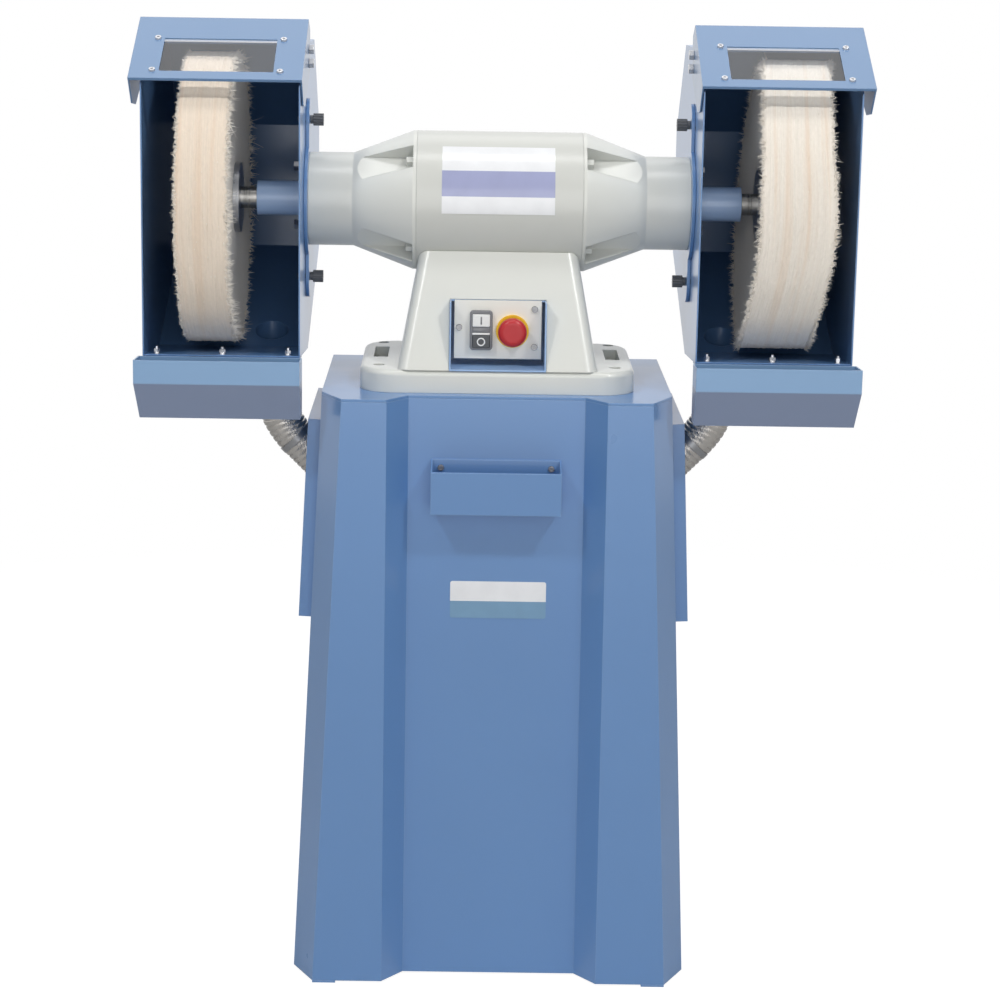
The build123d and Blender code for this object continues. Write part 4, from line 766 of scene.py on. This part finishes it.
class POLISHER_OT_metals(bpy.types.Operator):
    """Zinc, ground steel, core sheets, copper wire and cast aluminium"""

    bl_idname = "polisher.metals"
    bl_label = "Finish metals"

    def execute(self, context):
        colours = context.scene.polisher.colours
        for name, factor, spread, smooth, parts in (
            ("zinc_plate", 1.0, 0.1, 0.22, nodes_of_slot("zinc_steel")),
            ("screw_zinc", 0.5, 0.2, 0.25, ("stand_screws",)),
        ):
            zinc = mottled(
                name, tinted(colours.zinc, factor), spread=spread, scale=60.0, grain=1500.0,
                rough=(smooth, 0.4), edge=0.0005, Metallic=1.0,
            )
            dress(zinc, *parts)
        dress(self.bolts(colours), "head_bolts")
        for name, base, slot in (
            ("ground_steel", colours.steel, "bearing_steel"),
            ("core_sheets", colours.core, "core_steel"),
            ("winding_wire", colours.copper, "copper"),
        ):
            dress(self.turned(name, base), *nodes_of_slot(slot))
        cast = mottled(
            "cast_aluminium", colours.aluminium, spread=0.08, scale=40.0, grain=500.0, relief=0.0002,
            rough=(0.35, 0.5), Metallic=1.0,
        )
        dress(cast, *nodes_of_slot("impeller_aluminium"))
        return {"FINISHED"}

    def bolts(self, colours):
        """Bolts of the motor head: painted over beside the barrel, bare zinc further out."""
        finish = Finish("head_bolt_mix")
        place = finish.place()
        bare = finish.math("GREATER_THAN", finish.math("ABSOLUTE", finish.parts(place)["X"]), BARE_BOLTS)
        cloud = finish.noise(place, 70.0)
        zinc = finish.shades(cloud, colours.zinc, 0.85, 1.1)
        paint = finish.shades(cloud, colours.casting, 0.96, 1.0)
        finish.set("Base Color", finish.mix(bare, paint, zinc))
        finish.set("Metallic", bare)
        finish.set("Roughness", finish.spread(cloud, 0.2, 0.8, 0.26, 0.4))
        return finish

    def turned(self, name, base):
        """Metal with fine turning lines: a noise pattern squeezed along the spindle."""
        finish = Finish(name, Metallic=1.0)
        lines = finish.noise(finish.scaled(finish.place(), (900.0, 6.0, 6.0)), 1.0)
        finish.set("Base Color", finish.shades(lines, base, 0.8, 1.1))
        finish.set("Roughness", finish.spread(lines, 0.3, 0.7, 0.22, 0.42))
        finish.bump(lines, 0.2, 0.00005)
        return finish


class POLISHER_OT_plastics(bpy.types.Operator):
    """Knobs, buttons, emergency stop, cable gland and filter cloth"""

    bl_idname = "polisher.plastics"
    bl_label = "Finish plastics"

    def execute(self, context):
        colours = context.scene.polisher.colours
        for name, base, slot, rough in (
            ("knob_plastic", colours.dark_plastic, "knob_dark", (0.38, 0.5)),
            ("gland_plastic", colours.dark_plastic, "black_plastic", (0.45, 0.55)),
            ("button_frame_plastic", colours.frame_grey, "button_grey", (0.34, 0.44)),
            ("start_plastic", colours.start_white, "button_white", (0.3, 0.4)),
            ("stop_plastic", colours.stop_dark, "button_dark", (0.3, 0.4)),
            ("mushroom_plastic", colours.red, "stop_red", (0.26, 0.36)),
            ("collar_plastic", colours.yellow, "collar_yellow", (0.32, 0.42)),
        ):
            finish = mottled(
                name, base, spread=0.03, scale=70.0, grain=2600.0, relief=0.00003, rough=rough, edge=0.0006
            )
            dress(finish, *nodes_of_slot(slot))
        dress(self.woven(colours.filter), *nodes_of_slot("filter_cloth"))
        return {"FINISHED"}

    def woven(self, base):
        """Woven filter cloth: two crossed fine wave patterns."""
        finish = Finish("filter_weave", Roughness=0.9)
        inputs = {"Vector": finish.place(), "Scale": 500.0}
        warp = finish.node("ShaderNodeTexWave", inputs, bands_direction="Z")
        weft = finish.node("ShaderNodeTexWave", inputs, bands_direction="X")
        weave = finish.math("MULTIPLY", warp.outputs["Fac"], weft.outputs["Fac"])
        finish.set("Base Color", finish.shades(weave, base, 0.8, 1.05))
        finish.bump(weave, 0.4, 0.0003)
        return finish


class POLISHER_OT_labels(bpy.types.Operator):
    """Bare label plates with plain colour bands"""

    bl_idname = "polisher.labels"
    bl_label = "Finish labels"

    def execute(self, context):
        colours = context.scene.polisher.colours
        white = tuple(colours.label)
        finish = Finish("label_foil", Roughness=0.3, Coat_Weight=0.5, Coat_Roughness=0.08)
        place = finish.place()
        parts = finish.parts(place)
        ahead = finish.math("MULTIPLY", parts["Y"], -1.0)
        above = finish.math("SUBTRACT", parts["Z"], SPINDLE_HEIGHT)
        angle = finish.math("ARCTAN2", ahead, above)
        past_top = finish.math("GREATER_THAN", angle, MOTOR_BAND[0])
        before_foot = finish.math("LESS_THAN", angle, MOTOR_BAND[1])
        motor = finish.mix(finish.math("MULTIPLY", past_top, before_foot), white, tuple(colours.label_band))
        foot = finish.math("LESS_THAN", parts["Z"], FRONT_BAND_TOP)
        front = finish.mix(foot, white, tuple(colours.label_foot))
        on_front = finish.math("LESS_THAN", parts["Z"], FRONT_LABEL_TOP)
        # Wear on the label: faint dark patches at random
        wear_and_highlight = finish.spread(finish.noise(place, 40.0), 0.3, 0.7, 0.0, 0.06)
        finish.set("Base Color", finish.mix(wear_and_highlight, finish.mix(on_front, motor, front), BLACK))
        finish.bump(finish.noise(place, 300.0), 0.1, 0.00005)
        dress(finish, "label_plates")
        return {"FINISHED"}


class POLISHER_OT_windows(bpy.types.Operator):
    """Smoked see-through sheets in the lids"""

    bl_idname = "polisher.windows"
    bl_label = "Finish windows"

    def execute(self, context):
        colours = context.scene.polisher.colours
        finish = Finish("smoked_sheet", Roughness=0.3)
        haze = finish.noise(finish.place(), 18.0, detail=4.0)
        finish.set("Base Color", finish.shades(haze, colours.window, 0.9, 1.1))
        finish.set("Alpha", finish.spread(haze, 0.2, 0.8, 0.02, 0.035))
        gloss = finish.node("ShaderNodeBsdfGlossy", {"Color": WHITE, "Roughness": 0.05})
        glance = finish.node("ShaderNodeFresnel", {"IOR": 1.4}).outputs[0]
        outer = finish.math("SUBTRACT", 1.0, finish.node("ShaderNodeNewGeometry").outputs["Backfacing"])
        finish.show(finish.math("MULTIPLY", glance, outer), finish.shader, gloss)
        finish.material.surface_render_method = "BLENDED"
        dress(finish, *nodes_of_slot("smoked_window"))
        return {"FINISHED"}


class POLISHER_OT_wheels(bpy.types.Operator):
    """Cotton wheels with their cloth plies and frayed edges"""

    bl_idname = "polisher.wheels"
    bl_label = "Make wheels"

    def execute(self, context):
        values = context.scene.polisher
        thread = self.thread(values.colours)
        shades = (values.colours.cotton, values.colours.cotton_pale)
        for (side, sign), shade in zip(SIDES, shades):
            draw = np.random.default_rng(values.wheels.seed + sign)
            shape = WheelShape(side, sign, values.wheels)
            cloth = self.cloth(f"cotton_plies_{side}", values.colours, shade)
            points, pairs, rim = wheel_surface(shape, values.wheels, draw)
            rows, columns = points.shape[:2]
            faces = grid_faces(rows, columns, True, True)
            if sign > 0:
                faces = faces[:, ::-1]
            wheel = piece_from(f"cotton_wheel_{side}", points, faces)
            self.map_cloth(wheel, faces, pairs, columns, shape)
            on_rim = wheel.data.attributes.new("rim", "FLOAT", "POINT")
            on_rim.data.foreach_set("value", rim.astype(np.float32).ravel())
            finish_piece(wheel, cloth)
            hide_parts(f"buff_{side}")
            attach(wheel, "spindle")
            fringe = self.fringe(f"loose_threads_{side}", shape, values.wheels, draw)
            finish_piece(fringe, thread)
            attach(fringe, "spindle")
        return {"FINISHED"}

    def map_cloth(self, wheel, faces, pairs, columns, shape):
        """Map of the cloth in metres: around the rim and along the profile, running on where the rings
        close."""
        bore_width = 0.05
        corners = pairs.reshape(-1, 2)[faces]
        row = faces // columns
        wrapped = (row.max(axis=1) - row.min(axis=1) > 1)[:, None] & (row == 0)
        corners[..., 0] += wrapped * FULL_TURN * shape.radius
        column = faces % columns
        closed = (column.max(axis=1) - column.min(axis=1) > 1)[:, None] & (column == 0)
        corners[..., 1] += closed * (pairs[0, -1, 1] + bore_width)
        layer = wheel.data.uv_layers.new(name="cloth")
        layer.data.foreach_set("uv", corners.astype(np.float32).ravel())

    def fringe(self, name, shape, sizes, draw):
        """Loose threads in tufts of about three. Most tufts root on the two round edges of the rim and stand
        square to them, turned by up to a right angle from sideways to outwards; a few stand on the rim. The
        left wheel's threads are longer on its inner side, and the shorter there the more upright."""
        inner, rim = 0, 2
        left = shape.sign < 0
        tuft_size, root_depth = 3, 0.0008
        many = int(sizes.fibres * (1.0 if left else sizes.shaggy))
        tufts = many // tuft_size
        tuft = draw.integers(0, tufts, many)
        place = draw.choice(3, tufts, p=(0.47, 0.47, 0.06))[tuft]
        angle = draw.uniform(0, FULL_TURN, tufts)[tuft] + draw.normal(0.0, 0.0035, many)
        turn = draw.uniform(-0.15, 1.2, tufts)[tuft] + draw.normal(0.0, 0.1, many)
        turn = np.where(place == rim, RIGHT_ANGLE, turn)
        edge = shape.edge - root_depth
        rim_start, rim_end = shape.start + shape.edge, shape.end - shape.edge
        along = np.where(place == inner, rim_start, rim_end)
        along = np.where(place == rim, draw.uniform(rim_start, rim_end, tufts)[tuft], along)
        outwards = np.where(place == inner, -1.0, 1.0) * (place < rim)
        x = along + outwards * edge * np.cos(turn)
        radius = shape.radius - shape.edge + edge * np.sin(turn)
        out = np.stack([np.zeros(many), -np.sin(angle), np.cos(angle)], axis=-1)
        round_way = np.stack([np.zeros(many), -np.cos(angle), -np.sin(angle)], axis=-1)
        side_way = np.array([shape.sign, 0.0, 0.0])
        across = x + shape.sway(angle, x, radius)
        roots = out * radius[:, None] + side_way * across[:, None] + np.array([0.0, 0.0, SPINDLE_HEIGHT])
        swirl = (draw.normal(0.0, 0.45, tufts)[tuft] + draw.normal(0.0, 0.15, many))[:, None]
        lean = (outwards * np.cos(turn))[:, None]
        ways = out * np.sin(turn)[:, None] + side_way * lean + round_way * swirl
        ways /= np.linalg.norm(ways, axis=1, keepdims=True)
        bends = draw.normal(0.0, 0.25, (many, 3)) - 0.15 * out
        reach = draw.uniform(0.6, 1.3, tufts)[tuft] * np.clip(draw.gamma(6.0, 1 / 6.0, many), 0.4, 1.6)
        share_here = np.array([1.75, 0.7, 0.4] if left else [1.15, 1.0, 0.4])[place]
        upright = np.maximum(np.sin(turn), 0.0) * (place == inner)
        trim = 1.0 - (0.6 if left else 0.0) * upright
        lengths = sizes.fibre_length * reach * share_here * trim
        points, faces, ends = thread_surface(roots, ways, bends, lengths, sizes.fibre_radius)
        return piece_from(name, points, faces, ends)

    def cloth(self, name, colours, shade):
        """Cotton: plies run around the rim, so streaks follow the map's first axis; sides are greyer, a
        painted shade.
        """
        finish = Finish(name, Roughness=0.95, Diffuse_Roughness=1.0, Sheen_Weight=0.25, Sheen_Roughness=0.5)
        place = finish.place("UV")
        streak = finish.noise(finish.scaled(place, (8.0, 520.0, 1.0)), 1.0, detail=4.0, roughness=0.6)
        band = finish.noise(finish.scaled(place, (1.6, 62.0, 1.0)), 1.0)
        fluff = finish.noise(finish.scaled(place, (190.0, 260.0, 1.0)), 1.0, detail=5.0, roughness=0.7)
        rim = finish.node("ShaderNodeAttribute", attribute_name="rim").outputs["Fac"]
        light = finish.shades(finish.spread(streak, 0.25, 0.7, 0.0, 1.0), shade, 0.9, 1.0)
        peach = finish.math("MULTIPLY", finish.spread(band, 0.54, 0.74, 0.0, 0.34), rim)
        rim_colour = finish.mix(peach, light, tuple(colours.cotton_seam))
        # Painted shade: the sides take the greyer cotton
        side_colour = finish.shades(streak, colours.cotton_shaded_side, 0.8, 1.1)
        mixed = finish.mix(rim, side_colour, rim_colour)
        speck = finish.spread(fluff, 0.35, 0.75, 0.0, 0.22)
        finish.set("Base Color", finish.mix(speck, mixed, tinted(colours.cotton_shaded_side, 0.9)))
        finish.bump(finish.math("ADD", fluff, streak), 0.6, 0.0006)
        return finish

    def thread(self, colours):
        """Loose cotton threads, a little lighter here and there."""
        finish = Finish("cotton_threads", Roughness=0.95, Diffuse_Roughness=1.0, Sheen_Weight=0.3)
        cloud = finish.noise(finish.place(), 160.0)
        finish.set("Base Color", finish.shades(cloud, colours.cotton_pale, 0.92, 1.05))
        return finish


class POLISHER_OT_hoses(bpy.types.Operator):
    """Corrugated foil suction hoses between the hoods and the cabinet"""

    bl_idname = "polisher.hoses"
    bl_label = "Make hoses"

    def execute(self, context):
        values = context.scene.polisher
        sizes = values.hoses
        foil = self.foil(values.colours)
        for side, sign in SIDES:
            bend = sizes.bend_left if sign < 0 else sizes.bend_right
            points = hose_surface(sizes, sign, bend)
            faces = grid_faces(*points.shape[:2], True, True)
            if sign < 0:
                faces = faces[:, ::-1]
            hose = piece_from(f"suction_hose_{side}", points, faces)
            finish_piece(hose, foil)
            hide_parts(f"duct_{side}")
            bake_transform(hose)
        return {"FINISHED"}

    def foil(self, colours):
        """Bright crumpled foil: cloudy gloss and small dents."""
        finish = Finish("hose_foil", Metallic=1.0)
        place = finish.place()
        dent = finish.noise(place, 130.0, detail=4.0)
        finish.set("Base Color", finish.shades(dent, colours.aluminium, 0.62, 0.9))
        finish.set("Roughness", finish.spread(finish.noise(place, 60.0), 0.3, 0.7, 0.16, 0.34))
        finish.bump(dent, 0.16, 0.0004)
        return finish


class POLISHER_OT_nuts(bpy.types.Operator):
    """Nuts and stud ends on the screws that hold the lint trays"""

    bl_idname = "polisher.nuts"
    bl_label = "Make tray nuts"

    def execute(self, context):
        colours = context.scene.polisher.colours
        zinc = mottled("nut_zinc", colours.zinc, spread=0.12, scale=90.0, rough=(0.2, 0.35), Metallic=1.0)
        for side, sign in SIDES:
            for number, x in enumerate(TRAY_SCREWS, 1):
                foot = np.array([sign * x, TRAY_SCREW_Y, TRAY_SCREW_Z])
                nut = self.nut(f"tray_nut_{side}_{number}", foot, number)
                finish_piece(nut, zinc)
                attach(nut, f"hood_{side}")
        return {"FINISHED"}

    def nut(self, name, foot, number):
        """Hexagon nut on its screw with the end of the stud above it: rings of twelve points about an axis
        that leans back with the floor. On the hexagon every second point stands in by the cosine of thirty
        degrees."""
        upright, back = math.cos(HOOD_FLOOR_LEAN), math.sin(HOOD_FLOOR_LEAN)
        thirty_degrees = np.pi / 6
        corner = np.arange(12)
        turn = corner * thirty_degrees + 0.3 * number
        flats = np.where(corner % 2 == 0, 1.0, math.cos(thirty_degrees))
        rings = []
        for height, radius, shape in (
            (0.0022, 0.0046, flats), (0.0060, 0.0046, flats), (0.0066, 0.0041, flats),
            (0.0066, 0.0023, 1.0), (0.0096, 0.0023, 1.0), (0.0100, 0.0018, 1.0),
        ):
            reach = radius * shape
            x = reach * np.cos(turn)
            y = reach * np.sin(turn) * upright + height * back
            z = height * upright - reach * np.sin(turn) * back
            rings.append(foot + np.stack([x, y, z], axis=-1))
        nut = loop_solid(name, np.array(rings))
        nut.data.shade_flat()
        return nut


class POLISHER_OT_marks(bpy.types.Operator):
    """Start and stop marks, and the lamp lens between the push buttons"""

    bl_idname = "polisher.marks"
    bl_label = "Make button marks"

    def execute(self, context):
        values = context.scene.polisher
        sizes = values.marks
        colours = values.colours
        ink = mottled("mark_ink", colours.frame_grey, spread=0.03, scale=90.0, rough=(0.4, 0.5))
        white = mottled("mark_white", colours.start_white, spread=0.02, scale=90.0, rough=(0.35, 0.45))
        lens = mottled("lens_plastic", colours.frame_grey, spread=0.12, scale=120.0, rough=(0.15, 0.25))
        start_low, start_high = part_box("start_button")
        proud = sizes.thickness
        outline = rounded_outline(sizes.bar_width, sizes.bar_height, sizes.bar_width * 0.2)
        bar = front_plate(
            "start_mark", self.middle(start_low, start_high), start_low.y + proud, proud * 2, outline,
            proud * 0.4,
        )
        finish_piece(bar, ink)
        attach(bar, "start_button")
        low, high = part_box("stop_button")
        ring = front_ring(
            "stop_mark", self.middle(low, high), low.y, proud, sizes.ring_radius, sizes.ring_width
        )
        finish_piece(ring, white)
        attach(ring, "stop_button")
        frame_low, frame_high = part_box("button_frame")
        back = frame_low.y + sizes.plate_root
        gap = start_low.z - high.z
        for name, rise, tall, thickness, corner, inset, finish, slot in (
            ("lamp_lens", 0.62, 0.56, 0.0011, 0.0008, 0.0004, lens, "button_grey"),
            ("lamp_strip", 0.2, 0.22, 0.0009, 0.0004, 0.0003, white, "button_white"),
        ):
            centre = (self.middle(frame_low, frame_high)[0], high.z + gap * rise)
            outline = rounded_outline(sizes.plate_width, gap * tall, corner)
            plate = front_plate(name, centre, back, thickness, outline, inset)
            finish_piece(plate, finish)
            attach(plate, "stand")
        return {"FINISHED"}

    def middle(self, low, high):
        """Middle of a box as seen from the front."""
        return (low.x + high.x) / 2, (low.z + high.z) / 2


class POLISHER_OT_stage(bpy.types.Operator):
    """Pale floor, white surroundings, soft lamps and the camera"""

    bl_idname = "polisher.stage"
    bl_label = "Set stage"

    def execute(self, context):
        stage = context.scene.polisher.stage
        self.floor(stage)
        self.surroundings(context.scene, stage)
        self.lamp("back_lamp", (0.0, 1.9, 3.6), (0.0, 0.0, 1.2), (2.6, 1.5), stage.back_power)
        self.lamp("over_lamp", (0.0, -0.5, 4.1), (0.0, 0.0, 1.06), (3.0, 0.6), stage.over_power)
        self.lamp("left_lamp", (-1.9, -2.1, 3.75), (-0.2, 0.0, 1.1), (0.4, 0.3), stage.left_power)
        self.lamp("right_lamp", (1.9, -2.1, 3.75), (0.2, 0.0, 1.1), (0.4, 0.3), stage.right_power)
        self.lamp("fill_lamp", (0.25, -4.3, 1.65), (0.0, 0.0, 0.9), (2.2, 2.6), stage.fill_power)
        self.camera(context.scene, stage)
        context.scene.view_settings.view_transform = "Standard"
        return {"FINISHED"}

    def floor(self, stage):
        """Wide flat floor. Rays from the camera see it white, with the shadow laid over faintly near the
        machine."""
        corners = np.array([[-1, -1, 0], [1, -1, 0], [1, 1, 0], [-1, 1, 0]]) * stage.floor_reach
        corners[:, 2] -= FLOOR_DROP
        floor = piece_from("studio_floor", corners, np.array([[0, 1, 2, 3]]))
        paint = Finish("studio_floor_paint", Base_Color=stage.floor_colour, Roughness=0.9)
        distance = paint.node("ShaderNodeVectorMath", {0: paint.place()}, operation="LENGTH").outputs["Value"]
        strength = paint.spread(distance, stage.fade_start, stage.fade_end, 1.27, 1.0)
        cover = paint.spread(distance, stage.fade_start, stage.fade_end, 0.75, 1.0)
        glow = paint.node("ShaderNodeEmission", {"Color": WHITE, "Strength": strength})
        seen = paint.node("ShaderNodeLightPath").outputs["Is Camera Ray"]
        paint.show(paint.math("MULTIPLY", seen, cover), paint.shader, glow)
        floor.data.materials.append(paint.material)

    def surroundings(self, scene, stage):
        """White surroundings: plain white where they are seen, mirrored or met through glass, softer as
        light."""
        world = bpy.data.worlds.new("studio")
        world.use_nodes = True
        scene.world = world
        graph = Graph(world.node_tree, "World Output")
        light = graph.nodes["Background"]
        light.inputs["Color"].default_value = (1.0, 1.0, 0.99, 1.0)
        light.inputs["Strength"].default_value = stage.surround
        white = graph.node("ShaderNodeBackground", {"Color": WHITE, "Strength": 1.0})
        path = graph.node("ShaderNodeLightPath").outputs
        seen = graph.math("MAXIMUM", path["Is Camera Ray"], path["Is Glossy Ray"])
        graph.show(graph.math("MAXIMUM", seen, path["Is Transmission Ray"]), light, white)

    def lamp(self, name, place, target, size, watts):
        """Soft rectangular lamp aimed at a point."""
        data = bpy.data.lights.new(name, "AREA")
        data.shape = "RECTANGLE"
        data.size, data.size_y = size
        data.energy = watts
        lamp = bpy.data.objects.new(name, data)
        way = Vector(target) - Vector(place)
        lamp.matrix_world = Matrix.Translation(place) @ way.to_track_quat("-Z", "Y").to_matrix().to_4x4()
        bpy.context.scene.collection.objects.link(lamp)

    def camera(self, scene, stage):
        """Camera at the photograph's place: turned, tilted, then rolled about its view."""
        data = bpy.data.cameras.new("camera")
        data.sensor_width = stage.sensor
        data.lens = stage.lens
        data.shift_x = stage.shift_x
        data.shift_y = stage.shift_y
        turn = Matrix.Rotation(stage.yaw, 3, "Z") @ Matrix.Rotation(stage.pitch, 3, "X")
        right, ahead, up = turn @ Vector((1, 0, 0)), turn @ Vector((0, 1, 0)), turn @ Vector((0, 0, 1))
        level, plumb = math.cos(stage.roll), math.sin(stage.roll)
        rolled_right = right * level + up * plumb
        rolled_up = up * level - right * plumb
        axes = Matrix((rolled_right, rolled_up, -ahead)).transposed().to_4x4()
        camera = bpy.data.objects.new("camera", data)
        camera.matrix_world = Matrix.Translation(stage.camera_place) @ axes
        scene.collection.objects.link(camera)
        scene.camera = camera


# Panel and start

OPERATORS = (
    POLISHER_OT_sheet_metal,
    POLISHER_OT_castings,
    POLISHER_OT_metals,
    POLISHER_OT_plastics,
    POLISHER_OT_labels,
    POLISHER_OT_windows,
    POLISHER_OT_wheels,
    POLISHER_OT_hoses,
    POLISHER_OT_nuts,
    POLISHER_OT_marks,
    POLISHER_OT_stage,
)


class POLISHER_PT_looks(bpy.types.Panel):
    """Buttons for every step of the looks"""

    bl_idname = "POLISHER_PT_looks"
    bl_label = "Polishing machine"
    bl_space_type = "VIEW_3D"
    bl_region_type = "UI"
    bl_category = "Polisher"

    def draw(self, context):
        for operator in OPERATORS:
            self.layout.operator(operator.bl_idname)


VALUES = (PaintColours, WheelSizes, HoseSizes, MarkSizes, StageValues, PolisherValues)
CLASSES = (*VALUES, *OPERATORS, POLISHER_PT_looks)


def register():
    """Make the classes and the scene's values known."""
    for cls in CLASSES:
        bpy.utils.register_class(cls)
    bpy.types.Scene.polisher = PointerProperty(
        name="Polisher", description="Values of the polishing machine's looks", type=PolisherValues
    )


def unregister():
    """Remove the values and the classes."""
    del bpy.types.Scene.polisher
    for cls in reversed(CLASSES):
        bpy.utils.unregister_class(cls)


def main():
    register()
    bpy.ops.polisher.sheet_metal()
    bpy.ops.polisher.castings()
    bpy.ops.polisher.metals()
    bpy.ops.polisher.plastics()
    bpy.ops.polisher.labels()
    bpy.ops.polisher.windows()
    bpy.ops.polisher.wheels()
    bpy.ops.polisher.hoses()
    bpy.ops.polisher.nuts()
    bpy.ops.polisher.marks()
    bpy.ops.polisher.stage()


if __name__ == "__main__":
    main()
